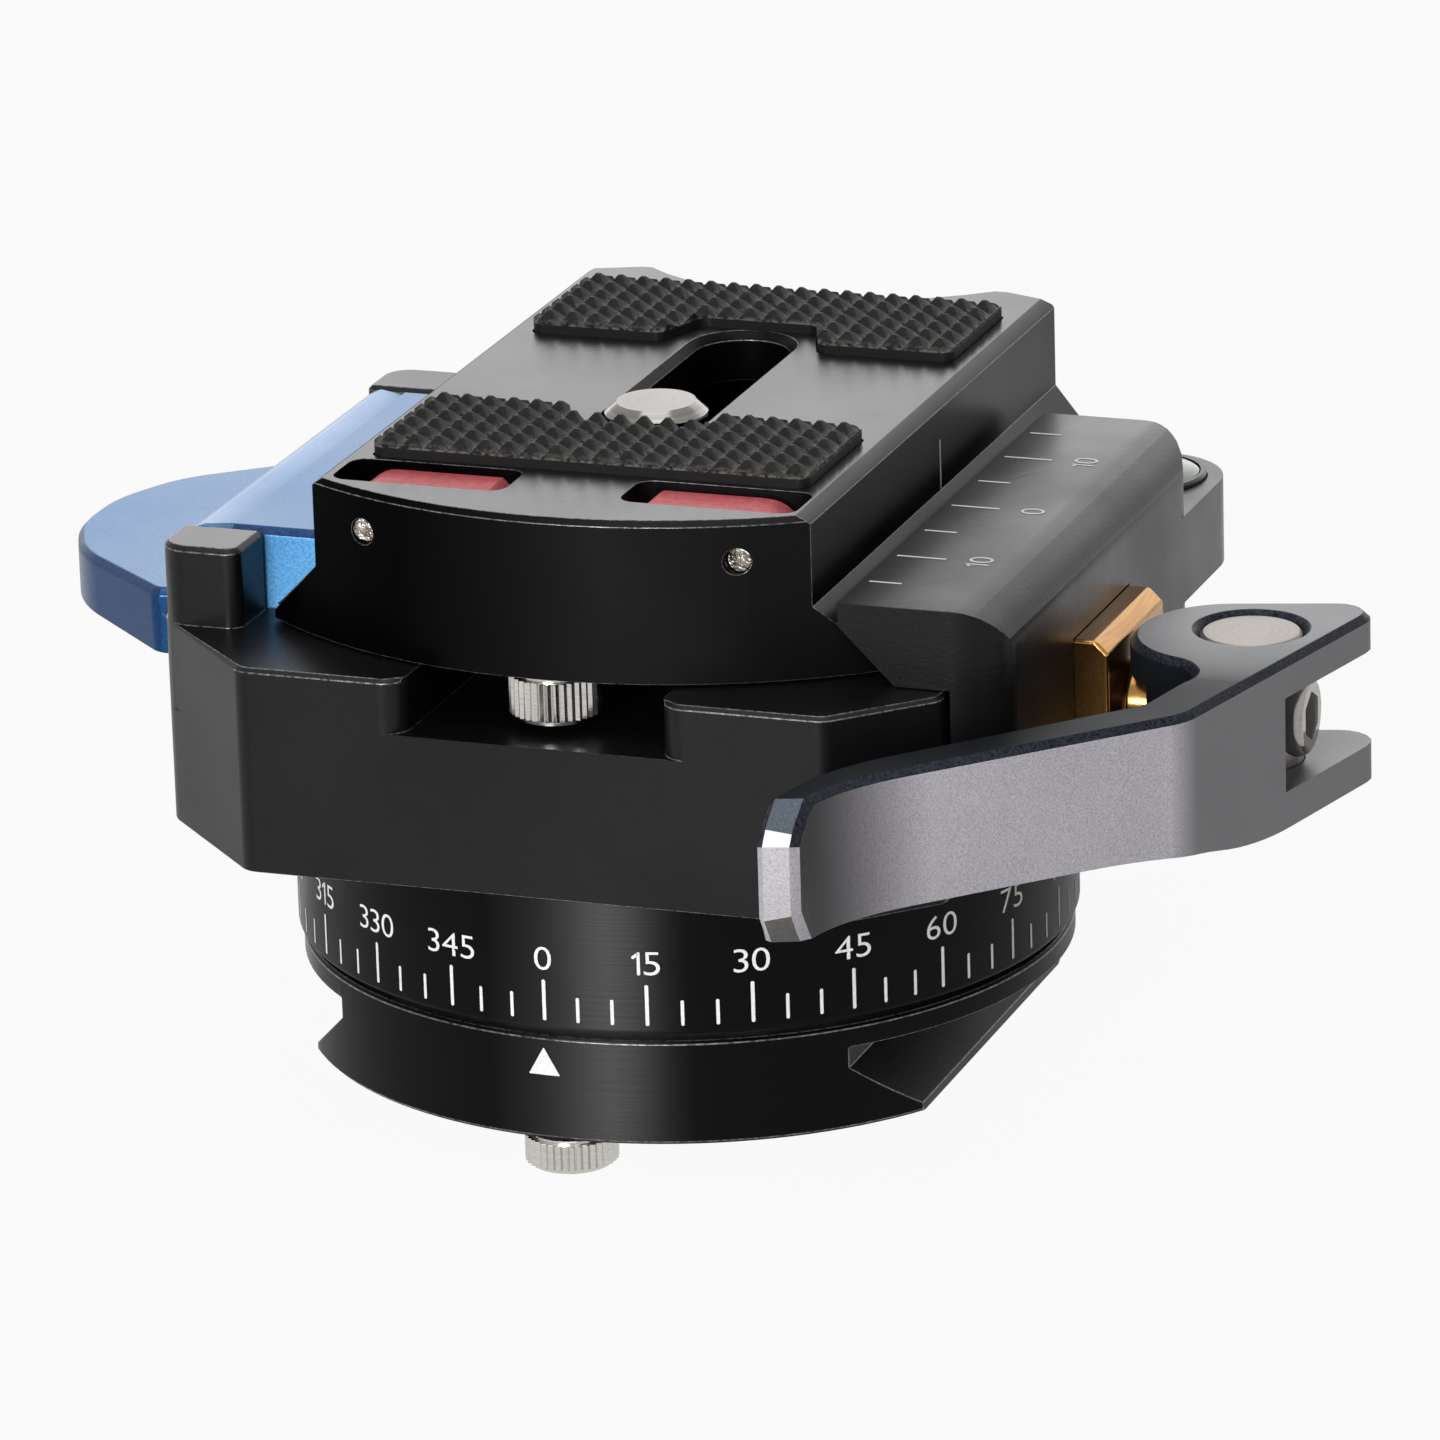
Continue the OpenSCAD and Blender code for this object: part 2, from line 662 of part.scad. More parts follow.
module clamp_jaw() color("#3a3b3e") {
    plan_r = 3.3;
    difference() {
        union() {
            intersection() {
                along_y(jaw_half + over) jaw_section();
                prism(z_body, z_jaw + over) polygon(rounded([[[0, -jaw_half], 0], [[jaw_out_x, -jaw_half], plan_r],
                    [[jaw_out_x, jaw_half], plan_r], [[0, jaw_half], 0]]));
            }
            level_lug();
        }
        translate([pad_seat_x, -pad_half - face_c, jaw_foot_z - over])
            cube([pad_sink + over, 2 * (pad_half + face_c), pad_top_z + face_c + over - jaw_foot_z]);
        translate([0, 0, z_bolt]) bar_x(jaw_in_x - over, jaw_out_x + over, bolt_r + clear_c);
        for (side = [-1, 1]) translate([0, side * guide_y, z_bolt])
            bar_x(jaw_in_x - over, jaw_in_x + guide_seat, guide_r);
        translate([level_x, level_y, level_top - vial_h]) cylinder(r = vial_r + run_c, h = vial_h + over);
    }
}

// Round-ended lug behind the jaw that carries the level
module level_lug() {
    prism(level_top - level_h, level_top) {
        translate([level_x, level_y]) circle(level_end_r);
        translate([level_x - level_end_r, jaw_half - 1]) square([2 * level_end_r, level_out + 1]);
        translate([jaw_in_x, jaw_half - 6]) square([jaw_wall, 6]);
    }
}

module guide_pins() color("#c4c6c9") {
    for (side = [-1, 1]) translate([0, side * guide_y, z_bolt]) bar_x(guide_in, jaw_in_x + guide_seat, guide_r);
}

// Brass block that the cam bears on, with a short boss between the arms of the fork
module cam_pad() color("#b98a55") {
    bevel = 0.8;
    difference() {
        union() {
            along_y(pad_half) polygon([[pad_seat_x, jaw_foot_z], [pad_face_x, jaw_foot_z],
                [pad_face_x, pad_top_z - bevel], [pad_face_x - bevel, pad_top_z], [pad_seat_x, pad_top_z]]);
            translate([0, 0, z_bolt]) bar_x(pad_seat_x, pad_face_x + pad_boss, fork_gap / 2 - clear_c);
        }
        translate([0, 0, z_bolt]) bar_x(pad_seat_x - over, pad_face_x + pad_boss + over, bolt_r + clear_c);
    }
}

module level_vial() color("#6fae4a") {
    translate([level_x, level_y, level_top - vial_h]) drum(vial_r, vial_h - 0.1, 0.25);
}

// Plan of the thumb tongue: straight shoulders, then a broad round end
tongue_tuck = 2;
tongue_root_r = 1.2;
tongue_shoulder = [2.2, 5.2];
tongue_nose = 2.5;
module tongue_plan() {
    tip = release_back + tongue_reach;
    side = [[[-release_back + tongue_tuck, -tongue_half], 0],
        [[-release_back - tongue_root, -tongue_half], tongue_root_r],
        [[-tip + tongue_shoulder.x, -tongue_half + tongue_shoulder.y], tongue_r], [[-tip, -tongue_nose], tongue_r]];
    polygon(rounded(concat(side, flip_y(side))));
}

// Release jaw: hooked block on a hinge pin, with a thumb tongue
module release_jaw() color("#2f6fb5") {
    top_r = 2;
    foot_x = jaw_slope(z_deck + seat_c);
    z_foot = tongue_top - tongue_t;
    tip_x = release_back + tongue_reach;
    difference() {
        union() {
            along_y(release_half) polygon(concat(
                [[-nose_x, z_jaw], [-nose_x, nose_z],
                [-foot_x, z_deck + seat_c], [-foot_x, z_foot], [-release_back, z_foot]],
                arc([-release_back + top_r, z_jaw - top_r], top_r, 180, 90, 8)));
            prism(z_foot, tongue_top) tongue_plan();
        }
        along_y(release_half) polygon([[-release_back, z_foot], [-release_back, z_foot - over],
            [-tip_x - over, z_foot - over], [-tip_x - over, tongue_top - tongue_tip_t]]);
        translate([-release_px, 0, release_pz]) {
            bar_y(-release_half - over, release_half + over, release_pin_r + run_c);
            bar_y(-coil_half, coil_half, release_pin_r + 1.2);
        }
    }
}

// Plan of the plate at a given half width: bulged front, eared rear with a shallow recess
module plate_plan(half) {
    ear = 2.6;
    swing = asin(half / front_r);
    recess_half = plate_top_w / 2 - 4.2;
    recess_r = circle_through(recess_half, rear_recess);
    recess_swing = asin(recess_half / recess_r);
    polygon(concat(
        arc([0, -plate_front - front_bulge + front_r], front_r, 270 - swing, 270 + swing, 20),
        [[half, plate_rear - ear], [recess_half + 1, plate_rear]],
        arc([0, plate_rear - rear_recess + recess_r], recess_r, 270 + recess_swing, 270 - recess_swing, 12),
        [[-recess_half - 1, plate_rear], [-half, plate_rear - ear]]));
}

module slot_plan(half, y0, y1) {
    for (y = [y0, y1]) translate([0, y]) circle(half);
    translate([-half, y0]) square([2 * half, y1 - y0]);
}

// Chamfer round the top of the screw slot
module slot_chamfer() {
    half = slot_w / 2;
    intersection() {
        along_y(slot_rear) polygon([[-half, z_top - slot_edge], [half, z_top - slot_edge],
            [half + slot_edge, z_top], [half + slot_edge, z_top + over], [-half - slot_edge, z_top + over],
            [-half - slot_edge, z_top]]);
        translate([-slot_w, screw_y, z_channel]) cube([2 * slot_w, screw_far - screw_y, plate_web + 2 * over]);
    }
    translate([0, screw_far, z_top - slot_edge]) cylinder(r1 = half, r2 = half + slot_edge, h = slot_edge);
}

// Outline of a rubber pad from its outer edge: two long lobes and a shorter middle beside the slot
module pad_plan(middle, gap) {
    half = pad_w / 2 + gap;
    lobe = pad_lobe + gap;
    mouth = notch_half - gap;
    floor_half = mouth - 1.4;
    soft = 0.7;
    polygon(rounded([[[-half, -gap], soft], [[half, -gap], soft], [[half, lobe], soft], [[mouth, lobe], soft],
        [[floor_half, middle + gap], soft], [[-floor_half, middle + gap], soft], [[-mouth, lobe], soft],
        [[-half, lobe], soft]]));
}

module front_pad_plan(gap = 0) {
    translate([0, front_pad_y]) pad_plan(slot_front - pad_margin - front_pad_y, gap);
}

module rear_pad_plan(gap = 0) {
    translate([0, rear_pad_y]) mirror([0, 1]) pad_plan(rear_pad_y - slot_rear - pad_margin, gap);
}

// Section of the valley between two rows of studs
module valley(pitch) {
    z = z_top + pad_proud;
    mouth = (pitch - stud_tip) / 2;
    polygon([[-mouth, z + over], [-mouth, z], [-stud_valley / 2, z - stud_h], [stud_valley / 2, z - stud_h],
        [mouth, z], [mouth, z + over]]);
}

// Valleys in both directions, from the front edge of a pad, that leave rows of pyramid studs
module pad_valleys(front_edge) {
    across = (pad_w - 2 * pad_rim) / stud_columns;
    along = (pad_lobe - 2 * pad_rim) / stud_rows;
    for (k = [0:stud_columns]) translate([k * across - pad_w / 2 + pad_rim, front_edge + pad_lobe / 2, 0])
        along_y(pad_lobe) valley(across);
    for (k = [0:stud_rows]) translate([0, front_edge + pad_rim + k * along, 0])
        rotate([90, 0, 90]) linear_extrude(2 * pad_w, center = true) valley(along);
}

// Quick-release plate: dovetail sides, screw slot, tab slots and pad recesses
module plate() color("#2a2b2e") {
    difference() {
        intersection() {
            prism(z_plate, z_top) plate_plan(plate_half);
            along_y(plate_rear + front_bulge) polygon([[-plate_half, z_plate], [plate_half, z_plate],
                [plate_half, z_plate + plate_lip], [plate_top_w / 2, z_plate + plate_lip + plate_flare],
                [plate_top_w / 2, z_top - edge], [plate_top_w / 2 - edge, z_top],
                [edge - plate_top_w / 2, z_top], [-plate_top_w / 2, z_top - edge],
                [-plate_top_w / 2, z_plate + plate_lip + plate_flare], [-plate_half, z_plate + plate_lip]]);
        }
        prism(z_plate - over, z_top + over) slot_plan(slot_w / 2, screw_y, screw_far);
        prism(z_plate - over, z_channel) slot_plan(channel_r, screw_y, screw_far);
        slot_chamfer();
        translate([0, screw_y, z_channel - over]) cylinder(r = keyhole_r, h = plate_web + 2 * over);
        for (side = [0, 1]) mirror([side, 0, 0]) {
            prism(z_tab - tab_r - 0.35, z_top + over)
                translate([(tab_slot_in + tab_slot_out) / 2, tab_y])
                soft_rect(tab_slot_out - tab_slot_in, tab_slot_w, 1);
            translate([tab_pin_x, 0, z_tab])
                bar_y(-plate_front - front_bulge, tab_y + tab_slot_w / 2 + 1, tab_pin_r + run_c / 2);
        }
        translate([0, 0, z_top - pad_sink_z]) linear_extrude(pad_sink_z + over) {
            front_pad_plan(face_c);
            rear_pad_plan(face_c);
        }
        translate([0, -plate_stop_front, z_plate]) stop_hole();
        translate([0, plate_stop_rear, z_plate]) stop_hole();
    }
}

module front_pad() color("#232527") {
    difference() {
        prism(z_top - pad_sink_z, z_top + pad_proud) front_pad_plan();
        pad_valleys(front_pad_y);
    }
}

module rear_pad() color("#232527") {
    difference() {
        prism(z_top - pad_sink_z, z_top + pad_proud) rear_pad_plan();
        pad_valleys(rear_pad_y - pad_lobe);
    }
}

// Hinge pins of the tabs, driven in from the curved front
module tab_pins() color("#b9bcc0") {
    pin_front = -plate_front - front_bulge + front_r - sqrt(front_r * front_r - pow(tab_pin_x + tab_pin_r, 2));
    for (side = [-1, 1]) translate([side * tab_pin_x, 0, z_tab])
        bar_y(pin_front + 0.1, tab_y + tab_slot_w / 2 + 0.9, tab_pin_r);
}

module plate_stop_screws() color("#b9bcc0") {
    translate([0, -plate_stop_front, z_plate]) stop_screw();
    translate([0, plate_stop_rear, z_plate]) stop_screw();
}

// Flip-up tab on the +X side: round end on the pin, bevelled free end
module tab() {
    bevel = 1;
    free_x = tab_pin_x - tab_len;
    translate([0, tab_y, 0]) difference() {
        along_y(tab_w / 2) polygon(concat(arc([tab_pin_x, z_tab], tab_r, -90, 90, 16),
            [[free_x + bevel, z_tab + tab_r], [free_x, z_tab + tab_r - bevel], [free_x, z_tab - tab_r + bevel],
            [free_x + bevel, z_tab - tab_r]]));
        translate([tab_pin_x, 0, z_tab]) bar_y(-tab_w, tab_w, tab_pin_r + run_c);
    }
}

module left_tab() color("#c05a5e") {
    mirror([1, 0, 0]) tab();
}

module right_tab() color("#c05a5e") {
    tab();
}

// Friction washer that slides in the channel above the screw head
module screw_washer() color("#b9bcc0") {
    translate([0, screw_y, z_head + screw_head_h + face_c]) ring(screw_neck_r + run_c, screw_head_r - 0.2, 0.5);
}

// Camera screw: socket head, neck that slides in the slot, thread above the plate
module camera_screw() color("#c4c6c9") {
    tip = 0.7;
    neck_top = z_top + face_c;
    thread_h = cam_screw_proud - face_c;
    translate([0, screw_y, 0]) difference() {
        union() {
            translate([0, 0, z_head]) drum(screw_head_r, screw_head_h, 0.3);
            translate([0, 0, z_head]) cylinder(r = screw_neck_r, h = neck_top - z_head);
            translate([0, 0, neck_top]) rotate_extrude() polygon([[0, 0], [cam_screw_r, 0],
                [cam_screw_r, thread_h - tip], [cam_screw_r - tip, thread_h], [0, thread_h]]);
        }
        translate([0, 0, z_head - over]) cylinder(r = 2, h = over + 2, $fn = 6);
    }
}

module brake_plug() color("#b98a55") {
    translate([0, 0, z_lock]) bar_y(plug_tip, plug_tip + plug_len, lock_screw_r);
}

module lock_screw() color("#c4c6c9") {
    translate([0, 0, z_lock]) bar_y(plug_tip + plug_len + face_c, knob_y + knob_len - 3, lock_screw_r);
}

// Fluted lock knob with a plain collar
module pan_knob() color("#202124") {
    flutes = 16;
    collar = 2;
    translate([0, knob_y, z_lock]) rotate([-90, 0, 0]) difference() {
        union() {
            cylinder(r = knob_r - 1.5, h = collar);
            translate([0, 0, collar]) drum(knob_r, knob_len - collar, 0.6);
        }
        for (k = [0:flutes - 1]) rotate(k * 360 / flutes) translate([knob_r + 0.35, 0, collar - over / 2])
            cylinder(r = 0.8, h = knob_len + over);
        translate([0, 0, -over]) cylinder(r = lock_screw_r, h = knob_len - 3 + over);
    }
}

base_plate();
base_stop_screws();
pan_hub();
hub_screws();
lower_washer();
upper_washer();
dial_ring();
dial_screws();
clamp_body();
draw_bolt();
lever_pin();
release_pin();
return_springs();
release_spring();
cam_lever();
clamp_jaw();
guide_pins();
cam_pad();
level_vial();
release_jaw();
plate();
front_pad();
rear_pad();
tab_pins();
plate_stop_screws();
left_tab();
right_tab();
screw_washer();
camera_screw();
brake_plug();
lock_screw();
pan_knob();
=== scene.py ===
"""Looks of a camera panning clamp, dressed over its CAD frame.

Blender works in metres, +Z up. Lengths here are written in millimetres and turned to metres by MM or at().
"""
import json
import math

import bmesh
import bpy
from mathutils import Matrix, Vector


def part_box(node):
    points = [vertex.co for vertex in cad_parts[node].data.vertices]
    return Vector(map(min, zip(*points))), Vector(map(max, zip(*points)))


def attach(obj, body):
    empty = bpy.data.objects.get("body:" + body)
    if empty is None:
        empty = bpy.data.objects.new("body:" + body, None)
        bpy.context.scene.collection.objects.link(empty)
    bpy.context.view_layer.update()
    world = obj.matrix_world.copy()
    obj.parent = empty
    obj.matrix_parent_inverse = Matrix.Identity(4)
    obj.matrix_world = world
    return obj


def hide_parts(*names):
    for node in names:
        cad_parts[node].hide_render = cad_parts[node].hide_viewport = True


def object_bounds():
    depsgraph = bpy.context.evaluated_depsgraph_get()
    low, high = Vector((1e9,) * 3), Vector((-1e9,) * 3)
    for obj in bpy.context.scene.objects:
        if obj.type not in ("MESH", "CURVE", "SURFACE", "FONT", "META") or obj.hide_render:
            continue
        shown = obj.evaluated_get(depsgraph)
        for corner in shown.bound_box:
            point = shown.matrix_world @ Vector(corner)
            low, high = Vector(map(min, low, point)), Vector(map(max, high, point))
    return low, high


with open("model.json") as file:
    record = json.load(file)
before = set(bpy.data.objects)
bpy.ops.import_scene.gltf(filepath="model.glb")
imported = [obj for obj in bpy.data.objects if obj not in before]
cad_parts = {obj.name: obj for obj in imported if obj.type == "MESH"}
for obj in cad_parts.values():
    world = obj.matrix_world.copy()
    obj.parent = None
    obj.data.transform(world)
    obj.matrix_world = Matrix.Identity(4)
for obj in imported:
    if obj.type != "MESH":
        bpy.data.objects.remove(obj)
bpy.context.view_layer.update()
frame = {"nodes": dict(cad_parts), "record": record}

MM = 0.001


def at(x, y, z):
    """Point given in millimetres, in metres."""
    return Vector((x, y, z)) * MM


def box_mm(node):
    """Lowest and highest corners of a CAD node, in millimetres."""
    low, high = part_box(node)
    return low / MM, high / MM


def centre_mm(node):
    """Middle of a CAD node's box, in millimetres."""
    low, high = box_mm(node)
    return (low + high) / 2


# Materials

def linear(hex_colour):
    """sRGB hex value as a linear colour."""
    channels = [int(hex_colour[i:i + 2], 16) / 255 for i in (1, 3, 5)]
    return [c / 12.92 if c <= 0.04045 else ((c + 0.055) / 1.055) ** 2.4 for c in channels] + [1]


def per_mm(size):
    """Texture scale that makes a pattern's features about this many millimetres wide."""
    return 1 / (size * MM)


def add(tree, kind, inputs=None, **settings):
    """Adds a shader node, sets its properties, and fills its sockets with values or with outputs."""
    made = tree.nodes.new("ShaderNode" + kind)
    for name, value in settings.items():
        setattr(made, name, value)
    for socket, value in (inputs or {}).items():
        if isinstance(value, bpy.types.NodeSocket):
            tree.links.new(value, made.inputs[socket])
        else:
            made.inputs[socket].default_value = value
    return made


def start(name, **sockets):
    """New material: its node tree, its shader with these constants set, and its object coordinates."""
    made = bpy.data.materials.new(name)
    made.use_nodes = True
    tree = made.node_tree
    shader = tree.nodes["Principled BSDF"]
    for socket, value in sockets.items():
        shader.inputs[socket.replace("_", " ")].default_value = value
    place = add(tree, "TexCoord").outputs["Object"]
    return made, tree, shader, place


def blasted(name, dark, light, metallic, roughness, grit, relief, **sockets):
    """Blasted skin: an even satin with grit of a size in millimetres and slow clouds of shade."""
    made, tree, shader, place = start(name, Metallic=metallic, **sockets)
    grain = add(tree, "TexNoise", {"Vector": place, "Scale": per_mm(grit), "Detail": 2.0, "Roughness": 0.7})
    cloud = add(tree, "TexNoise", {"Vector": place, "Scale": per_mm(11), "Detail": 3.0})
    blend = add(tree, "MapRange", {"Value": grain.outputs["Fac"], "From Min": 0.3, "From Max": 0.72})
    shade = add(tree, "MapRange", {"Value": cloud.outputs["Fac"], "From Min": 0.3, "From Max": 0.7,
                                   "To Min": -0.16, "To Max": 0.16})
    both = add(tree, "Math", {0: blend.outputs[0], 1: shade.outputs[0]}, operation="ADD", use_clamp=True)
    colour = add(tree, "Mix", {0: both.outputs[0], 6: linear(dark), 7: linear(light)}, data_type="RGBA")
    gloss = add(tree, "MapRange", {"Value": cloud.outputs["Fac"], "From Min": 0.3, "From Max": 0.7,
                                   "To Min": roughness - 0.05, "To Max": roughness + 0.05})
    bump = add(tree, "Bump", {"Height": grain.outputs["Fac"], "Strength": 0.5, "Distance": relief * MM})
    tree.links.new(colour.outputs[2], shader.inputs["Base Color"])
    tree.links.new(gloss.outputs[0], shader.inputs["Roughness"])
    tree.links.new(bump.outputs[0], shader.inputs["Normal"])
    return made


def turned(name, dark, light, metallic, roughness, pitch, relief, axis=2, centre=(0, 0, 0), **sockets):
    """Turned metal: rings of a pitch in millimetres round an axis, which break the gloss into streaks."""
    made, tree, shader, place = start(name, Metallic=metallic, **sockets)
    across = [1.0, 1.0, 1.0]
    across[axis] = 0.0
    moved = add(tree, "Mapping", {"Vector": place, "Location": -at(*centre)})
    flat = add(tree, "VectorMath", {0: moved.outputs[0], 1: across}, operation="MULTIPLY")
    radius = add(tree, "VectorMath", {0: flat.outputs[0]}, operation="LENGTH")
    along = add(tree, "SeparateXYZ", {"Vector": place})
    line = add(tree, "CombineXYZ", {"X": radius.outputs["Value"], "Y": along.outputs[axis]})
    rings = add(tree, "TexNoise", {"Vector": line.outputs[0], "Scale": per_mm(pitch), "Detail": 3.0})
    cloud = add(tree, "TexNoise", {"Vector": place, "Scale": per_mm(7), "Detail": 2.0})
    colour = add(tree, "Mix", {0: rings.outputs["Fac"], 6: linear(dark), 7: linear(light)}, data_type="RGBA")
    gloss = add(tree, "MapRange", {"Value": cloud.outputs["Fac"], "From Min": 0.3, "From Max": 0.7,
                                   "To Min": roughness - 0.06, "To Max": roughness + 0.06})
    bump = add(tree, "Bump", {"Height": rings.outputs["Fac"], "Strength": 0.4, "Distance": relief * MM})
    tree.links.new(colour.outputs[2], shader.inputs["Base Color"])
    tree.links.new(gloss.outputs[0], shader.inputs["Roughness"])
    tree.links.new(bump.outputs[0], shader.inputs["Normal"])
    return made


def moulded_rubber(name, skin, dust, dust_top, dust_depth):
    """Moulded matt rubber: near black, with pale dust that gathers in the valleys between the studs."""
    made, tree, shader, place = start(name, Roughness=0.55, IOR=1.25)
    speck = add(tree, "TexNoise", {"Vector": place, "Scale": per_mm(0.35), "Detail": 3.0})
    height = add(tree, "SeparateXYZ", {"Vector": place})
    low = add(tree, "MapRange", {"Value": height.outputs["Z"], "From Min": dust_top * MM,
                                 "From Max": (dust_top - dust_depth) * MM, "To Min": 0.05, "To Max": 1.0})
    patchy = add(tree, "MapRange", {"Value": speck.outputs["Fac"], "From Min": 0.40, "From Max": 0.60})
    floor_of_dust = (dust_top - 1.1 * dust_depth) * MM
    wall = add(tree, "Math", {0: height.outputs["Z"], 1: floor_of_dust}, operation="GREATER_THAN")
    lying = add(tree, "Math", {0: low.outputs[0], 1: wall.outputs[0]}, operation="MULTIPLY")
    amount = add(tree, "Math", {0: lying.outputs[0], 1: patchy.outputs[0]}, operation="MULTIPLY")
    colour = add(tree, "Mix", {0: amount.outputs[0], 6: linear(skin), 7: linear(dust)}, data_type="RGBA")
    bump = add(tree, "Bump", {"Height": speck.outputs["Fac"], "Strength": 0.3, "Distance": 0.03 * MM})
    tree.links.new(colour.outputs[2], shader.inputs["Base Color"])
    tree.links.new(bump.outputs[0], shader.inputs["Normal"])
    return made


def fade(material, axis, begin, end, colour, gloss, middle=None):
    """Paints light and shade into a finish: it goes over to another colour and gloss between two places along
    an axis.

    With a middle, the two places are distances from it to either side.
    """
    tree = material.node_tree
    shader = tree.nodes["Principled BSDF"]
    along = add(tree, "SeparateXYZ", {"Vector": add(tree, "TexCoord").outputs["Object"]})
    place = along.outputs[axis]
    if middle is not None:
        away = add(tree, "Math", {0: place, 1: middle * MM}, operation="SUBTRACT")
        place = add(tree, "Math", {0: away.outputs[0]}, operation="ABSOLUTE").outputs[0]
    share = add(tree, "MapRange", {"Value": place, "From Min": begin * MM, "From Max": end * MM})
    old = shader.inputs["Base Color"].links[0].from_socket
    mixed = add(tree, "Mix", {0: share.outputs[0], 6: old, 7: linear(colour)}, data_type="RGBA")
    level = add(tree, "MapRange", {"Value": share.outputs[0], "To Min": gloss[0], "To Max": gloss[1]})
    tree.links.new(mixed.outputs[2], shader.inputs["Base Color"])
    tree.links.new(level.outputs[0], shader.inputs["Specular IOR Level"])


plate_top = box_mm("plate")[1].z
pad_top = box_mm("front_pad")[1].z
pin_centre = centre_mm("lever_pin")
screw_centre = centre_mm("camera_screw")
vial_centre = centre_mm("level_vial")

# Dyed black skin over fine blasting: the grit is drawn at 0.16 mm, coarser than real, so that it shows
BLACK = blasted("black_anodised_aluminium", "#070709", "#0f0f11", 0.0, 0.36, 0.16, 0.010, IOR=1.29)
# The plate's milled sides are near black, painted darker and less glossy to the left as shade; its ground top
# is glossier
BLACK_PLATE_SHADED = blasted("milled_black_anodised_painted_shade", "#040405", "#08080a", 0.0, 0.34, 0.14, 0.003,
                      IOR=1.15)
fade(BLACK_PLATE_SHADED, 0, 4, -9, "#020203", (0.8, 0.15))
BLACK_GROUND = blasted("ground_black_anodised_top", "#09090a", "#121213", 0.0, 0.27, 0.12, 0.004, IOR=1.5)
# The turned pieces take the same dye; their tool marks run round the pan axis and draw the light out upright
BLACK_TURNED_PAINTED_STREAK = turned("turned_black_anodised_painted_streak", "#070709", "#131315", 0.0, 0.37, 0.20, 0.030,
                      IOR=1.3, Anisotropic=0.85, Anisotropic_Rotation=0.25)
# Painted highlight and shade: an upright band at x 1.9 mm, where the grooves draw the front lamp out, keeps
# raised gloss
# and beside it the dial and base are painted darker and less glossy
fade(BLACK_TURNED_PAINTED_STREAK, 0, 1.5, 6.0, "#050506", (0.64, 0.17), middle=1.9)
# The sharp edges have lost some dye, and their pale speckles of bare metal are also a painted glint along the
# edges
BLACK_WORN_GLINT = blasted("worn_black_edge_painted_glint", "#0a0a0c", "#7c7c7e", 0.5, 0.30, 0.30, 0.020)
# A fly cutter swept over the jaw and left wide arcs
CUTTER_CENTRE = (-28, 40, 0)
DARK_GREY_SHADED = turned("fly_cut_dark_grey_painted_shade", "#1b1b1d", "#302f31", 0.15, 0.34, 0.28, 0.030, 2,
                   CUTTER_CENTRE, IOR=1.4)
# Painted shade: towards the front the jaw is painted darker and less glossy
fade(DARK_GREY_SHADED, 1, 20, -26, "#121213", (0.7, 0.25))
# Painted shade: the jaw's sides take a darker copy of the finish, with the same painted shade to the front
DARK_GREY_SIDE_SHADE = turned("dark_grey_side_painted_shade", "#151517", "#262527", 0.15, 0.34, 0.28, 0.030, 2,
                        CUTTER_CENTRE, IOR=1.32)
fade(DARK_GREY_SIDE_SHADE, 1, 20, -26, "#101011", (0.7, 0.25))
# Titanium-grey dye lets the metal through, so single grains catch the light
TITANIUM_SHADED = blasted("titanium_grey_anodised_painted_shade", "#8f8d93", "#bdbac0", 0.05, 0.40, 0.11, 0.014, IOR=1.3)
# Painted shade: near the tip, where the arm turns away from the lamps, it is painted darker and less glossy
fade(TITANIUM_SHADED, 0, 25.0, 20.5, "#454345", (0.5, 0.3))
# Painted shade: the faced top takes a darker copy of the finish than the blasted sides
TITANIUM_TOP_SHADE = blasted("faced_titanium_grey_painted_shade", "#5a5b5e", "#747578", 0.0, 0.36, 0.14, 0.008, IOR=1.5)
# Painted shade: along the arm, where the top slopes off, it is painted as dark as the chamfer
fade(TITANIUM_TOP_SHADE, 1, -1, -10, "#1a1c20", (0.5, 0.05))
# The chamfers are darker and bluer still
TITANIUM_CUT = blasted("cut_titanium_grey_chamfer", "#0c0d11", "#363a43", 0.1, 0.34, 0.20, 0.020, IOR=1.15)
# Painted light and shade: the tip's facets take copies of the finish by the way they face, from a painted
# white glint to a shaded underside
TITANIUM_TIP_HIGHLIGHT = blasted("titanium_facet_painted_highlight", "#d9d7db", "#f0eef1", 0.1, 0.45, 0.11, 0.010, IOR=1.4)
TITANIUM_END_LIT = blasted("titanium_end_painted_light", "#9a989c", "#c8c5c9", 0.05, 0.40, 0.11, 0.010, IOR=1.3)
TITANIUM_FLAT_SHADE = blasted("titanium_facet_painted_blue_grey_shade", "#3c434c", "#59626d", 0.05, 0.36, 0.11, 0.012, IOR=1.3)
TITANIUM_LOW_SHADE = blasted("titanium_facet_painted_shade", "#4a4847", "#62605e", 0.05, 0.40, 0.11, 0.010, IOR=1.2)
# Painted shade: beyond the bend the hub's side is painted a little darker; this copy is also the painted
# highlight on the tip's side chamfers
TITANIUM_SIDE_LIGHT_AND_SHADE = blasted("titanium_side_painted_light_and_shade", "#8f8d93", "#bdbac0", 0.05, 0.40, 0.11, 0.014, IOR=1.3)
fade(TITANIUM_SIDE_LIGHT_AND_SHADE, 1, -17.4, -15.4, "#8a888b", (0.5, 0.5))
# Painted shade: the arm's inner side is painted as dark as its scallop towards the hub
TITANIUM_INNER_SHADE = blasted("titanium_scallop_painted_shade", "#8f8d93", "#bdbac0", 0.05, 0.40, 0.11, 0.014, IOR=1.3)
fade(TITANIUM_INNER_SHADE, 1, -26, -9, "#191b1f", (0.5, 0.15))
# Blue dye over bare metal: the sides are deep
BLUE = blasted("blue_anodised_aluminium", "#1c3a60", "#294b78", 1.0, 0.30, 0.12, 0.010)
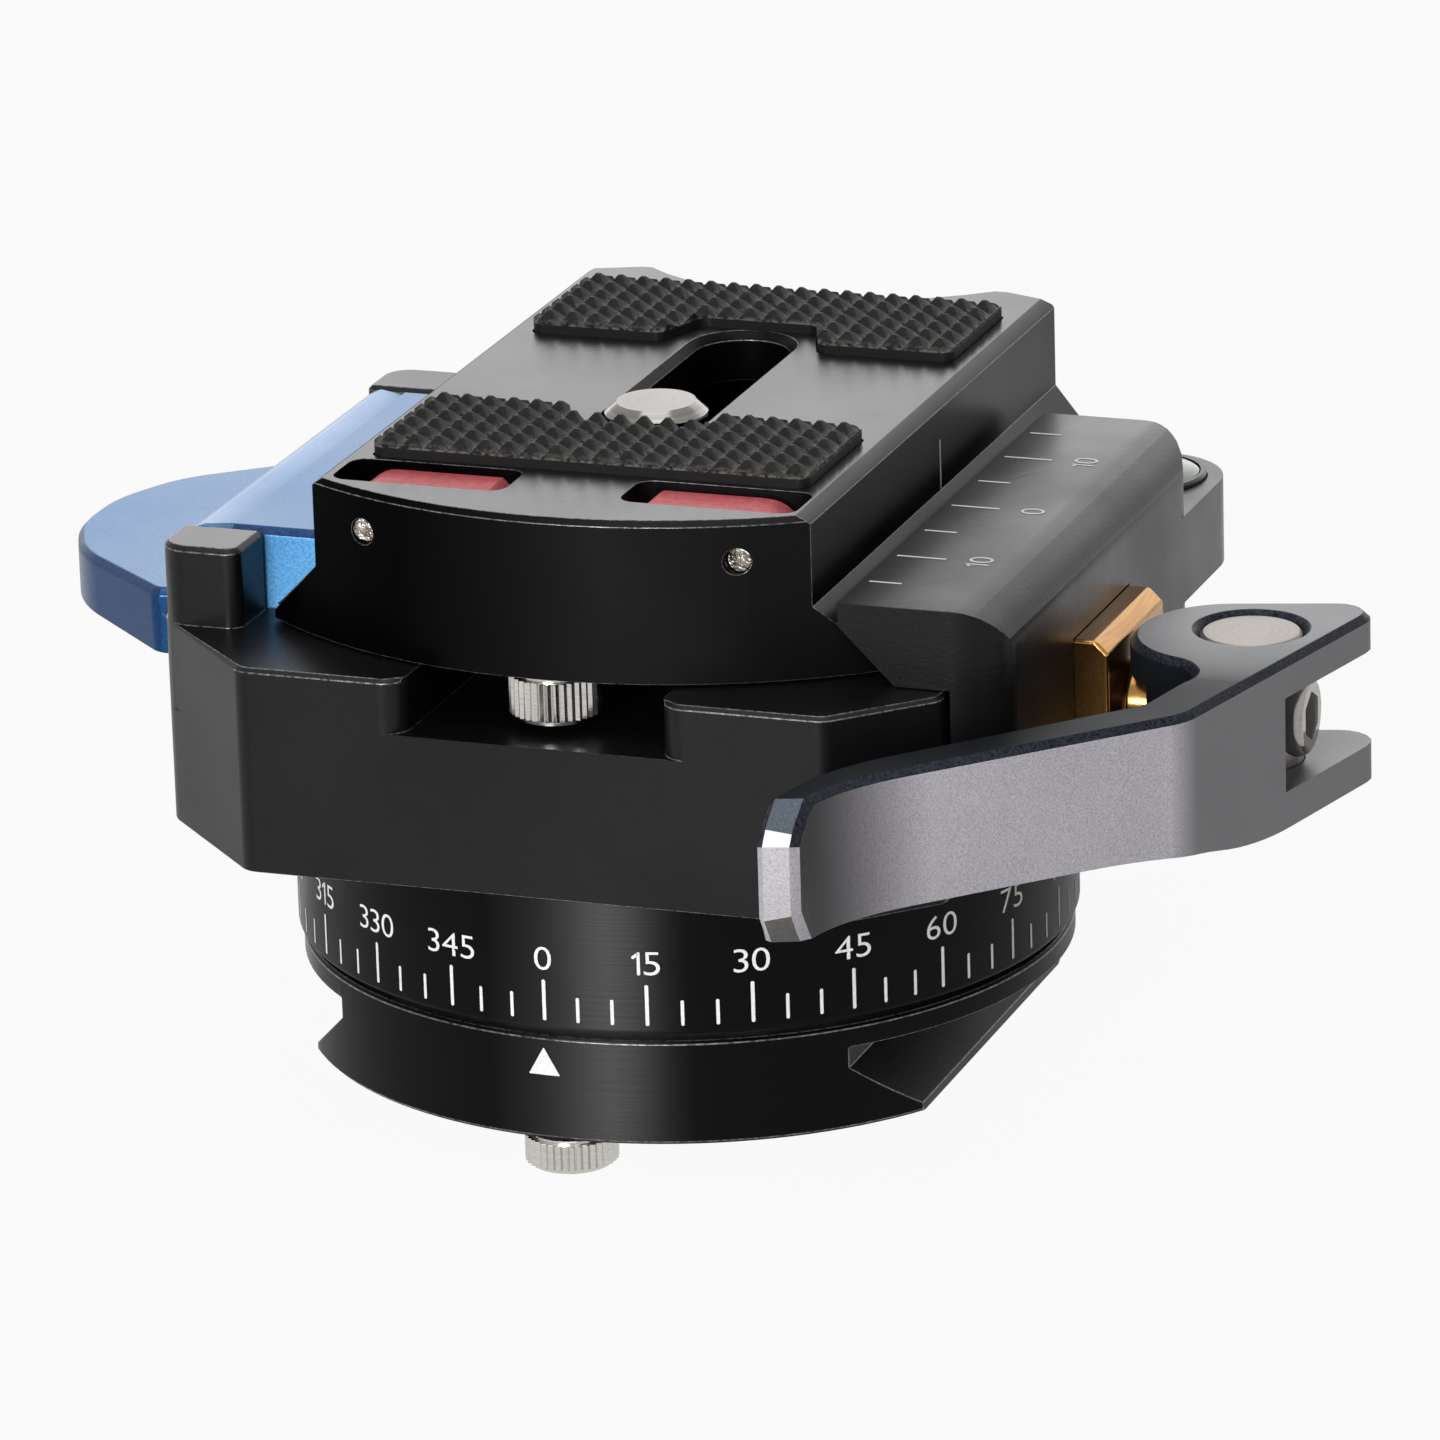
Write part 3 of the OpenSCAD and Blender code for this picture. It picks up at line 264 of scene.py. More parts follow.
# Painted light: tops take paler copies of the blue, and a painted highlight fades in over the hook's round
# back
BLUE_TOP_LIT = blasted("blue_anodised_top_painted_light", "#305274", "#436b95", 1.0, 0.30, 0.12, 0.010)
BLUE_HOOK_HIGHLIGHT = blasted("blue_hook_top_painted_highlight", "#305274", "#436b95", 1.0, 0.30, 0.12, 0.010)
fade(BLUE_HOOK_HIGHLIGHT, 0, -22.4, -25.0, "#6f86a6", (0.5, 0.5))
# The chamfers are darker, and the hook's blasted end is painted the palest, as painted light
BLUE_CUT = blasted("cut_blue_chamfer", "#0d2545", "#1d4478", 0.6, 0.30, 0.20, 0.015)
BLUE_END_LIT = blasted("blasted_blue_end_painted_light", "#3f86c4", "#6fb2e4", 0.3, 0.40, 0.20, 0.030, IOR=1.4)
# The tabs' dye is thin and a little milky
RED = blasted("red_anodised_aluminium", "#bf4e55", "#d96b71", 0.2, 0.48, 0.5, 0.010)
# Stainless pieces that hardly show
STEEL = turned("turned_stainless_steel", "#8b8885", "#b9b6b2", 1.0, 0.30, 0.12, 0.006)
# Nickel plate over the knurls
NICKEL = turned("nickel_plated_knurl", "#a5a29e", "#dcd9d4", 1.0, 0.17, 0.12, 0.008)
# Pin ends spread by a punch
PEENED = blasted("peened_stainless_end", "#2c2723", "#b5ada4", 1.0, 0.30, 0.45, 0.25)
# Polished bolts that lie along X, and a brighter copy of the steel painted as light on the sides of the draw
# bolt's head
STEEL_X = turned("polished_stainless_bolt", "#7a7672", "#aaa6a1", 1.0, 0.12, 0.12, 0.004, 0)
STEEL_HEAD_LIT = turned("stainless_head_side_painted_light", "#a5a19d", "#dedbd7", 0.4, 0.22, 0.12, 0.006, 0)
# Faced ends of the lever pin and the camera screw, with rings round their own axes
STEEL_PIN = turned("faced_stainless_pin", "#6f6a66", "#95908b", 1.0, 0.36, 0.16, 0.020, 2, pin_centre)
STEEL_SCREW = turned("faced_stainless_screw", "#66625f", "#979390", 1.0, 0.32, 0.14, 0.020, 2, screw_centre)
# The screw's flank is polished between the tool's grooves
STEEL_FLANK = turned("polished_stainless_flank", "#1d1c1b", "#b5b1ac", 1.0, 0.14, 0.45, 0.040, 2,
                     screw_centre)
# Bare hub, brass pad and plug, plastic washers
ALUMINIUM = turned("turned_bare_aluminium", "#b9b9bb", "#d6d6d8", 1.0, 0.32, 0.2, 0.008)
BRASS = turned("milled_brass", "#7d5930", "#b98b52", 1.0, 0.20, 0.25, 0.010)
WASHER = blasted("natural_bearing_plastic", "#d5d2c8", "#e3e0d8", 0.0, 0.5, 0.5, 0.004)
# Paint in the engraving
WHITE = blasted("white_engraving_paint", "#dcdbd8", "#f2f1ef", 0.0, 0.6, 0.2, 0.003)
# Round level: moulded ring, dyed liquid and its bubble
VIAL_RING = blasted("black_vial_ring", "#0a0a0a", "#161616", 0.0, 0.35, 0.3, 0.003)
LIQUID = blasted("green_level_liquid", "#1f3a1c", "#36602f", 0.0, 0.12, 4.0, 0.0, IOR=1.5, Coat_Weight=0.3)
BUBBLE = blasted("pale_level_bubble", "#4c5f45", "#637a59", 0.0, 0.08, 2.0, 0.0, Coat_Weight=0.3)

# The pads' studs are this high, and dust lies in the lower part of their valleys
STUD_H = 0.62
DUST_TOP, DUST_DEPTH = pad_top - 0.6 * STUD_H, 0.4 * STUD_H
RUBBER = moulded_rubber("moulded_black_rubber", "#070708", "#605d57", DUST_TOP, DUST_DEPTH)


# Modelling helpers

def only(piece):
    """Selects one object alone and makes it active."""
    bpy.ops.object.select_all(action="DESELECT")
    piece.select_set(True)
    bpy.context.view_layer.objects.active = piece


def apply_modifiers(piece):
    """Applies every modifier of a piece, in order."""
    only(piece)
    for modifier in list(piece.modifiers):
        bpy.ops.object.modifier_apply(modifier=modifier.name)


def smooth(piece, angle=32):
    """Shades a piece smooth but for edges sharper than an angle in degrees."""
    only(piece)
    bpy.ops.object.shade_smooth_by_angle(angle=math.radians(angle))


def paint(piece, *materials):
    """Gives a piece its materials; its faces start with the first."""
    piece.data.materials.clear()
    for material in materials:
        piece.data.materials.append(material)


def coat(piece, material):
    """Place of a material among those of a piece."""
    return piece.data.materials.find(material.name)


def join(pieces, name):
    """Joins finished pieces into one object."""
    bpy.ops.object.select_all(action="DESELECT")
    for piece in pieces:
        piece.select_set(True)
    bpy.context.view_layer.objects.active = pieces[0]
    if len(pieces) > 1:
        bpy.ops.object.join()
    pieces[0].name = name
    return pieces[0]


def place_mesh(piece):
    """Puts an object's place, turn and scale into its mesh."""
    only(piece)
    bpy.ops.object.transform_apply(location=True, rotation=True, scale=True)


def settle(piece, body):
    """Puts a finished piece's place into its mesh and lets it ride on its body."""
    place_mesh(piece)
    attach(piece, body)


def body_of(node):
    """Body that carries a CAD node."""
    bodies = frame["record"]["behaviour"]["bodies"]
    return next(body for body, nodes in bodies.items() if node in nodes)


# Corners nearer than this are merged, and edges between faces that bend less than this go
MERGE = 0.0005
DISSOLVE = math.radians(0.6)


def copy_of(node):
    """Merged copy of a CAD node, its flat faces whole, ready to be worked on."""
    only(frame["nodes"][node])
    bpy.ops.object.duplicate()
    piece = bpy.context.object
    piece.name = node + "_finished"
    for key in list(piece.keys()):
        del piece[key]
    bpy.ops.mesh.customdata_custom_splitnormals_clear()
    bpy.ops.object.mode_set(mode="EDIT")
    bpy.ops.mesh.select_all(action="SELECT")
    bpy.ops.mesh.remove_doubles(threshold=MERGE * MM)
    bpy.ops.mesh.dissolve_limited(angle_limit=DISSOLVE)
    bpy.ops.object.mode_set(mode="OBJECT")
    return piece


def break_edges(piece, width, segments=2, angle=30, worn_and_glint=None):
    """Bevel in millimetres on every edge sharper than an angle, in an edge finish of wear and painted glint
    if one is given.
    """
    bevel = piece.modifiers.new("edges", "BEVEL")
    bevel.width = width * MM
    bevel.segments = segments
    bevel.limit_method = "ANGLE"
    bevel.angle_limit = math.radians(angle)
    bevel.miter_outer = "MITER_ARC"
    if worn_and_glint:
        bevel.use_clamp_overlap = False
        piece.data.materials.append(worn_and_glint)
        bevel.material = len(piece.data.materials) - 1
    apply_modifiers(piece)


def flat_normals(piece):
    """Smooth shading that leaves the large faces flat and bends only in the narrow bevels."""
    smooth(piece)
    weighted = piece.modifiers.new("flat faces", "WEIGHTED_NORMAL")
    weighted.keep_sharp = True
    apply_modifiers(piece)


def edit(piece, kind, test):
    """Opens a piece in edit mode with only the corners, edges or faces that pass a test selected."""
    only(piece)
    bpy.ops.object.mode_set(mode="EDIT")
    bpy.ops.mesh.select_mode(type=kind)
    bpy.ops.mesh.select_all(action="DESELECT")
    mesh = bmesh.from_edit_mesh(piece.data)
    for part in {"VERT": mesh.verts, "EDGE": mesh.edges, "FACE": mesh.faces}[kind]:
        part.select_set(test(part))
    bmesh.update_edit_mesh(piece.data)


def leave():
    """Closes edit mode."""
    bpy.ops.object.mode_set(mode="OBJECT")


def twin(piece, matrix):
    """Copy of a placed piece, with its own mesh, moved by a matrix."""
    made = piece.copy()
    made.data = piece.data.copy()
    bpy.context.scene.collection.objects.link(made)
    made.matrix_world = matrix
    return made


def finish(piece, node, edge, segments=2, worn_and_glint=None):
    """Breaks the edges of a painted copy and puts it in its CAD node's place."""
    break_edges(piece, edge, segments, worn_and_glint=worn_and_glint)
    flat_normals(piece)
    settle(piece, body_of(node))
    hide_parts(node)
    return piece


def dress(node, material, edge, segments=2, worn_and_glint=None):
    """Finished copy of a CAD node: its material and broken edges."""
    piece = copy_of(node)
    paint(piece, material)
    return finish(piece, node, edge, segments, worn_and_glint)


# How near counts as at a height, how sharp a rim is, and how far up a level face faces
NEAR = 0.01
RIM_ANGLE = math.radians(40)
FACES_UP = 0.99


def rim(part, height):
    """Outer edge at a height in millimetres, between an upper face and a side."""
    level = all(abs(corner.co.z - height * MM) < NEAR * MM for corner in part.verts)
    return level and len(part.link_faces) == 2 and part.is_convex and part.calc_face_angle() > RIM_ANGLE


def chamfer(piece, test, width, segments=1, material=-1):
    """Bevels the edges that pass a test by a width in millimetres."""
    edit(piece, "EDGE", test)
    bpy.ops.mesh.bevel(offset=width * MM, segments=segments, affect="EDGES", material=material,
                       clamp_overlap=False)
    leave()


def ground(piece, height):
    """Gives the faces at a height in millimetres the ground finish."""
    piece.data.materials.append(BLACK_GROUND)
    for face in piece.data.polygons:
        if face.normal.z > FACES_UP and abs(face.center.z - height * MM) < NEAR * MM:
            face.material_index = coat(piece, BLACK_GROUND)


# Share of a stroke's width that the round takes at each corner
STROKE_ROUND = 0.45


def stroke(width, length):
    """Engraved tick that lies flat with its lower end at the origin, its corners rounded."""
    bpy.ops.object.select_all(action="DESELECT")
    bpy.ops.mesh.primitive_plane_add(size=1)
    piece = bpy.context.object
    piece.scale = (width * MM, length * MM, 1)
    piece.location.y = length / 2 * MM
    place_mesh(piece)
    edit(piece, "EDGE", lambda part: True)
    bpy.ops.mesh.bevel(offset=STROKE_ROUND * width * MM, segments=4, affect="VERTICES")
    leave()
    return piece


# The engraver's figures are wider than the built-in font's; shares are of a figure's height
WIDER = 1.2
STEM, FLAG, FIGURE_GAP = 0.13, 0.34, 0.15
THINNER = -0.006
FLAG_TURN = math.radians(128)


def figure(digit, height):
    """Engraved figure that lies flat. A one is drawn with its slanting flag."""
    if digit == "1":
        stem, flag = stroke(STEM * height, height), stroke(STEM * height, FLAG * height)
        top = Matrix.Translation(at(0, height * (1 - STEM / 2), 0))
        flag.matrix_world = top @ Matrix.Rotation(FLAG_TURN, 4, "Z")
        piece = join([stem, flag], "figure")
        place_mesh(piece)
        return piece
    bpy.ops.object.select_all(action="DESELECT")
    bpy.ops.object.text_add()
    letter = bpy.context.object
    letter.data.body = digit
    letter.data.resolution_u = 4
    letter.data.offset = THINNER
    bpy.ops.object.convert(target="MESH")
    piece = bpy.context.object
    size = height * MM / piece.dimensions.y
    piece.scale = (WIDER * size, size, size)
    place_mesh(piece)
    return piece


def numeral(words, height):
    """Engraved number that lies flat, centred on the origin."""
    row, reach = [], 0
    for digit in words:
        piece = figure(digit, height)
        lows = [min(v.co[i] for v in piece.data.vertices) for i in (0, 1)]
        piece.location = (reach - lows[0], -lows[1] - height / 2 * MM, 0)
        reach += piece.dimensions.x + FIGURE_GAP * height * MM
        row.append(piece)
    for piece in row:
        piece.location.x -= (reach - FIGURE_GAP * height * MM) / 2
    number = join(row, "number")
    place_mesh(number)
    return number


def wrap(piece, target, lift=0.02):
    """Lays a flat mark onto the surface of another piece."""
    edit(piece, "FACE", lambda part: True)
    bpy.ops.mesh.subdivide(number_cuts=1)
    leave()
    skin = piece.modifiers.new("on the surface", "SHRINKWRAP")
    skin.target = target
    skin.wrap_method = "NEAREST_SURFACEPOINT"
    skin.wrap_mode = "ABOVE_SURFACE"
    skin.offset = lift * MM
    apply_modifiers(piece)


def turned_stack(name, profile, centre):
    """Turned piece on an upright axis: cone after cone through a profile of (height, radius)."""
    cones = []
    for (z0, r0), (z1, r1) in zip(profile, profile[1:]):
        bpy.ops.object.select_all(action="DESELECT")
        bpy.ops.mesh.primitive_cone_add(
            vertices=96, radius1=r0 * MM, radius2=r1 * MM, depth=(z1 - z0) * MM,
            end_fill_type="NOTHING", location=at(centre.x, centre.y, (z0 + z1) / 2))
        place_mesh(bpy.context.object)
        cones.append(bpy.context.object)
    piece = join(cones, name)
    edit(piece, "FACE", lambda part: True)
    bpy.ops.mesh.remove_doubles(threshold=MERGE * MM)
    bpy.ops.mesh.normals_make_consistent(inside=False)
    leave()
    return piece


# Camera, at the photograph's viewing angle

AZIMUTH, ELEVATION, ROLL = (math.radians(a) for a in (20.148, 18.555, -1.723))
CAMERA_DISTANCE = 574.234
AIM_RIGHT, AIM_UP, AIM_DROP = 1.418, 24.346, -7.5
LENS = 237.7

toward = Vector((math.sin(AZIMUTH) * math.cos(ELEVATION), -math.cos(AZIMUTH) * math.cos(ELEVATION),
                 math.sin(ELEVATION)))
level_right = Vector((math.cos(AZIMUTH), math.sin(AZIMUTH), 0))
level_up = toward.cross(level_right)
right = level_right * math.cos(ROLL) + level_up * math.sin(ROLL)
up = level_up * math.cos(ROLL) - level_right * math.sin(ROLL)
eye = (right * AIM_RIGHT + up * AIM_UP + Vector((0, 0, AIM_DROP)) + toward * CAMERA_DISTANCE) * MM
bpy.ops.object.camera_add()
camera = bpy.context.object
camera.data.lens = LENS
camera.data.clip_start = 0.01
camera.matrix_world = Matrix.Translation(eye) @ Matrix((right, up, toward)).transposed().to_4x4()
bpy.context.scene.camera = camera


# Metal pieces that keep their CAD form; the number is the width of their broken edges

FINE = 0.12
base = dress("base_plate", BLACK_TURNED_PAINTED_STREAK, 0.05, worn_and_glint=BLACK_WORN_GLINT)
dial = dress("dial_ring", BLACK_TURNED_PAINTED_STREAK, 0.1)
dress("cam_pad", BRASS, 0.22, 3)
dress("left_tab", RED, 0.15)
dress("right_tab", RED, 0.15)
dress("pan_knob", BLACK, FINE)
dress("lever_pin", STEEL_PIN, 0.15)
dress("lock_screw", STEEL_X, 0.15)
dress("guide_pins", STEEL_X, 0.15)
dress("screw_washer", STEEL, 0.05)
dress("tab_pins", PEENED, 0.12)
dress("plate_stop_screws", NICKEL, 0.02, 1)

inside = {"pan_hub": ALUMINIUM, "hub_screws": STEEL, "dial_screws": STEEL, "lower_washer": WASHER,
          "upper_washer": WASHER, "release_pin": STEEL, "return_springs": STEEL_X, "release_spring": STEEL,
          "brake_plug": BRASS}
for node, material in inside.items():
    paint(frame["nodes"][node], material)


# Clamp body: chamfers round the tops of the posts and along the ends of the deck

# Height of the deck; its chamfered ends lie beyond these
DECK, DECK_END_Y, CHANNEL_X = 28.1, 19, 8
POST_CHAMFER, DECK_CHAMFER = 0.3, 0.25
body = copy_of("clamp_body")
paint(body, BLACK)
post_top = box_mm("clamp_body")[1].z


def deck_end(part):
    """Edge of the deck beside a post, along the front or the rear."""
    x, y = ((part.verts[0].co[i] + part.verts[1].co[i]) / 2 / MM for i in (0, 1))
    return abs(y) > DECK_END_Y and abs(x) > CHANNEL_X and rim(part, DECK)


chamfer(body, lambda part: rim(part, post_top), POST_CHAMFER)
chamfer(body, deck_end, DECK_CHAMFER)
ground(body, post_top)
finish(body, "clamp_body", 0.05, worn_and_glint=BLACK_WORN_GLINT)


# Lever jaw: fly-cut top, and sides in a darker copy painted as shade

# Upward share of a face's normal above which it counts as a top, and below which as a side
LEVEL, UPRIGHT = 0.9, 0.3
jaw = copy_of("clamp_jaw")
paint(jaw, DARK_GREY_SHADED, DARK_GREY_SIDE_SHADE)
# Painted shade: faces that are not tops take the darker side copy
for face in jaw.data.polygons:
    if face.normal.z < LEVEL:
        face.material_index = coat(jaw, DARK_GREY_SIDE_SHADE)
finish(jaw, "clamp_jaw", FINE)


# Plate: a chamfer follows the outline of its top

# Only the outline lies beyond these
OUTLINE_X, OUTLINE_FRONT, OUTLINE_REAR = 14.6, -19.6, 22.9
PLATE_CHAMFER = 0.35
plate = copy_of("plate")
paint(plate, BLACK_PLATE_SHADED)


def plate_outline(part):
    """Edge of the top along the outline, not round a slot or a pad."""
    ends = [corner.co / MM for corner in part.verts]
    outer = all(abs(end.x) > OUTLINE_X or end.y < OUTLINE_FRONT or end.y > OUTLINE_REAR for end in ends)
    return outer and rim(part, plate_top)


chamfer(plate, plate_outline, PLATE_CHAMFER)
ground(plate, plate_top)
finish(plate, "plate", 0.035, worn_and_glint=BLACK_WORN_GLINT)


# Release jaw: a broader hook, with chamfers round its top and the tongue's

TONGUE_TOP = DECK + 0.3
# The hook's back lies beyond this and moves out
HOOK_BACK, BROADER = -22.4, 1.3
# The bends at the tongue's root lie between these, and move along and outwards
ROOT_FROM, ROOT_TO, ROOT_SIDE = -29.5, -28.4, 12.4
ROOT_ALONG, ROOT_OUT = 1.0, 0.8
JAW_CHAMFER = 0.4
# How far faces of the back, the end and the tops turn their way, and where they lie
BACKWARD, ABOVE_TONGUE = -0.15, 0.2
FORWARD, END_DEPTH = -0.95, 0.1
UPWARD, HOOK_RISE = 0.15, 1
hook = copy_of("release_jaw")
paint(hook, BLUE, BLUE_CUT, BLUE_END_LIT, BLUE_TOP_LIT, BLUE_HOOK_HIGHLIGHT)
hook_low, hook_high = box_mm("release_jaw")


def hook_back(part):
    """Face of the hook's back, above the tongue."""
    middle = part.calc_center_median() / MM
    return part.normal.x < BACKWARD and middle.x < HOOK_BACK and middle.z > TONGUE_TOP + ABOVE_TONGUE


def tongue_root(part):
    """Corner of the round bend where the tongue's side turns to the hook."""
    return ROOT_FROM < part.co.x / MM < ROOT_TO and abs(part.co.y) / MM > ROOT_SIDE


edit(hook, "FACE", hook_back)
bpy.ops.transform.translate(value=(-BROADER * MM, 0, 0))
leave()
for side in (-1, 1):
    edit(hook, "VERT", lambda part: tongue_root(part) and part.co.y * side > 0)
    bpy.ops.transform.translate(value=(ROOT_ALONG * MM, ROOT_OUT * side * MM, 0))
    leave()
chamfer(hook, lambda part: rim(part, hook_high.z) or rim(part, TONGUE_TOP), JAW_CHAMFER,
        material=coat(hook, BLUE_CUT))
# Painted light: the hook's front end and its tops take paler copies of the blue
for face in hook.data.polygons:
    if face.normal.y < FORWARD and face.center.y < (hook_low.y + END_DEPTH) * MM:
        face.material_index = coat(hook, BLUE_END_LIT)
    elif face.material_index == 0 and face.normal.z > UPWARD:
        on_hook = face.center.z > (TONGUE_TOP + HOOK_RISE) * MM
        face.material_index = coat(hook, BLUE_HOOK_HIGHLIGHT if on_hook else BLUE_TOP_LIT)
finish(hook, "release_jaw", 0.1)


# Cam lever: flats across the tip, a dark chamfer round the top face and its pin hole, painted light and shade
# by facing

LEVER_CHAMFER = 0.45
TIP_CORNER = Vector((18.0, -38.0, 0.0))
TIP_OUT = Vector((0.25, -0.97, 0.0)).normalized()
# Faces of the tip's end lie in front of this and face out at least this far
TIP_FROM, TIP_FACING = -36.2, 0.55
# Flats across the tip: how far in and how high each starts, and how far out and up it faces
TIP_FLATS = ((0.6, 25.65, 1.25, 1.4), (0.0, 24.7, 0.95, 0.6), (0.0, 20.3, 1.5, -0.6))
# Upward share of the normal at which one flat's painted light or shade gives way to the next
TIP_LOW, TIP_END, TIP_HIGH = -0.3, 0.4, 0.6
# Painted highlight: the side chamfers of the tip are painted bright in front of this place and below this
# height
BRIGHT_Y, BRIGHT_Z = -35, 24.6
# Inner and outer sides, which take painted shade: how far they face right, and where along the arm they lie
INNER_FACING, INNER_FROM, INNER_TO = 0.3, -36, 3
OUTER_FACING, OUTER_FROM = 0.75, -30
lever = copy_of("cam_lever")
paint(lever, TITANIUM_SHADED, TITANIUM_CUT, TITANIUM_TOP_SHADE, TITANIUM_TIP_HIGHLIGHT, TITANIUM_END_LIT, TITANIUM_FLAT_SHADE, TITANIUM_LOW_SHADE,
      TITANIUM_SIDE_LIGHT_AND_SHADE, TITANIUM_INNER_SHADE)
lever_top = box_mm("cam_lever")[1].z


def on_tip(normal, middle):
    """Whether a face lies across the end of the tip."""
    return middle.y < TIP_FROM * MM and normal.dot(TIP_OUT) > TIP_FACING


def lever_edge(part):
    """Edge round the top face, or down either side of the tip's flats."""
    across = [on_tip(face.normal, face.calc_center_median()) for face in part.link_faces]
    if any(across):
        return not all(across) and all(abs(face.normal.z) < LEVEL for face in part.link_faces)
    return rim(part, lever_top)


def tip_finish(up):
    """Painted light and shade of a flat across the tip: a lit or shaded copy, by how far it faces up."""
    if up < TIP_LOW:
        return TITANIUM_LOW_SHADE
    if up < TIP_END:
        return TITANIUM_END_LIT
    return TITANIUM_TIP_HIGHLIGHT if up < TIP_HIGH else TITANIUM_FLAT_SHADE


def lever_finish(face):
    """Painted light and shade of a face of the lever: a lit or shaded copy, or nothing where it keeps its own
    finish.
    """
    up, along = face.normal.z, face.center.y / MM
    if face.material_index == coat(lever, TITANIUM_CUT):
        bright = along < BRIGHT_Y and face.center.z < BRIGHT_Z * MM
        return TITANIUM_SIDE_LIGHT_AND_SHADE if bright else None
    if on_tip(face.normal, face.center):
        return tip_finish(up)
    if up > LEVEL:
        return TITANIUM_TOP_SHADE
    if abs(up) < UPRIGHT and face.normal.x < INNER_FACING and INNER_FROM < along < INNER_TO:
        return TITANIUM_INNER_SHADE
    if abs(up) < UPRIGHT and face.normal.x > OUTER_FACING and along > OUTER_FROM:
        return TITANIUM_SIDE_LIGHT_AND_SHADE
    return None


for inset, height, outward, upward in TIP_FLATS:
    begin = TIP_CORNER - TIP_OUT * inset + Vector((0, 0, height))
    edit(lever, "FACE", lambda part: True)
    bpy.ops.mesh.bisect(
        plane_co=begin * MM, plane_no=TIP_OUT * outward + Vector((0, 0, upward)),
        use_fill=True, clear_outer=True)
    leave()
chamfer(lever, lever_edge, LEVER_CHAMFER, material=coat(lever, TITANIUM_CUT))
# Painted light and shade: faces take lit and shaded copies of the finish by the way they face
for face in lever.data.polygons:
    skin = lever_finish(face)
    if skin:
        face.material_index = coat(lever, skin)
finish(lever, "cam_lever", 0.08, 1)


# Draw bolt: polished head with a round rim

# The head lies beyond this and moves out; its rim is outside this radius
HEAD_X, HEAD_OUT, HEAD_RIM_R, HEAD_ROUND = 36.05, 0.5, 1.9, 0.5
END_FACING = 0.5
bolt = copy_of("draw_bolt")
paint(bolt, STEEL_X, STEEL_HEAD_LIT)
# Painted light: the bolt's side faces take the brighter copy of the steel
for face in bolt.data.polygons:
    if abs(face.normal.x) < END_FACING:
        face.material_index = coat(bolt, STEEL_HEAD_LIT)
edit(bolt, "FACE", lambda part: part.calc_center_median().x > HEAD_X * MM)
bpy.ops.transform.translate(value=(HEAD_OUT * MM, 0, 0))
leave()
head_end = box_mm("draw_bolt")[1].x + HEAD_OUT
bolt_z = centre_mm("draw_bolt").z


def head_rim(part):
    """Edge round the outside of the head's end."""
    ends = [corner.co / MM for corner in part.verts]
    return all(end.x > head_end - NEAR and math.hypot(end.y, end.z - bolt_z) > HEAD_RIM_R for end in ends)


chamfer(bolt, head_rim, HEAD_ROUND, 4)
finish(bolt, "draw_bolt", 0.04)


# Stop screws under the base: only 2 mm of the knurl stands out

STANDS_OUT, BELOW_BASE = 2.0, -0.05
feet = copy_of("base_stop_screws")
paint(feet, NICKEL)
shorter = -STANDS_OUT / box_mm("base_stop_screws")[0].z
edit(feet, "EDGE", lambda part: all(corner.co.z < BELOW_BASE * MM for corner in part.verts))
bpy.ops.transform.resize(value=(1, 1, shorter), center_override=(0, 0, 0))
leave()
finish(feet, "base_stop_screws", 0.02, 1)


# Rubber pads: round corners, and the mould leaves every stud's edges a little round

PAD_CORNER, PAD_TRIM = 0.8, 0.01
for pad in ("front_pad", "rear_pad"):
    low, high = box_mm(pad)
    piece = copy_of(pad)
    paint(piece, RUBBER)
    bpy.ops.object.select_all(action="DESELECT")
    bpy.ops.mesh.primitive_cube_add(size=1, location=(low + high) / 2 * MM)
    block = bpy.context.object
    block.scale = at(high.x - low.x - PAD_TRIM, high.y - low.y - PAD_TRIM, high.z - low.z + 1)
    place_mesh(block)
    edit(block, "EDGE", lambda part: abs(part.verts[0].co.z - part.verts[1].co.z) > MM)
    bpy.ops.mesh.bevel(offset=PAD_CORNER * MM, segments=5, affect="EDGES")
    leave()
    corners = piece.modifiers.new("round corners", "BOOLEAN")
    corners.operation = "INTERSECT"
    corners.object = block
    apply_modifiers(piece)
    bpy.data.objects.remove(block)
    finish(piece, pad, 0.05)


# Camera screw: socket head, neck, fine grooves of the thread, chamfered tip

# Radii, then heights from the head up
NECK, ROOT, CREST, TIP_R = 2.6, 2.35, 3.05, 2.35
HEAD_HEIGHT, HEAD_BREAK = 2.6, 0.3
PITCH, FIRST_GROOVE = 1.27, 1.2
GROOVE_IN, GROOVE_FLOOR, GROOVE_OUT = 0.35, 0.6, 0.95
SHOULDER_GAP, TIP_TAPER, TIP_BREAK, TIP_SLOPE = 0.06, 0.65, 0.05, 0.06
FLANK = 0.95
screw_low, screw_high = box_mm("camera_screw")
head_r = (screw_high.x - screw_low.x) / 2
head_top = screw_low.z + HEAD_HEIGHT
shoulder, top = plate_top + SHOULDER_GAP, screw_high.z
profile = [(screw_low.z, 0), (screw_low.z, head_r - HEAD_BREAK), (screw_low.z + HEAD_BREAK, head_r),
           (head_top - HEAD_BREAK, head_r), (head_top, head_r - HEAD_BREAK), (head_top, NECK)]
groove = head_top + FIRST_GROOVE
while groove + PITCH < plate_top:
    profile += [(groove, NECK), (groove + GROOVE_IN, ROOT), (groove + GROOVE_FLOOR, ROOT),
                (groove + GROOVE_OUT, NECK)]
    groove += PITCH
profile += [(shoulder, NECK), (shoulder, CREST), (top - TIP_TAPER, CREST),
            (top - TIP_BREAK, TIP_R + TIP_SLOPE), (top, TIP_R), (top, 0)]
screw = turned_stack("camera_screw_turned", profile, screw_centre)
smooth(screw, 28)
paint(screw, STEEL_SCREW, STEEL_FLANK)
for face in screw.data.polygons:
    if abs(face.normal.z) < FLANK:
        face.material_index = coat(screw, STEEL_FLANK)
settle(screw, body_of("camera_screw"))
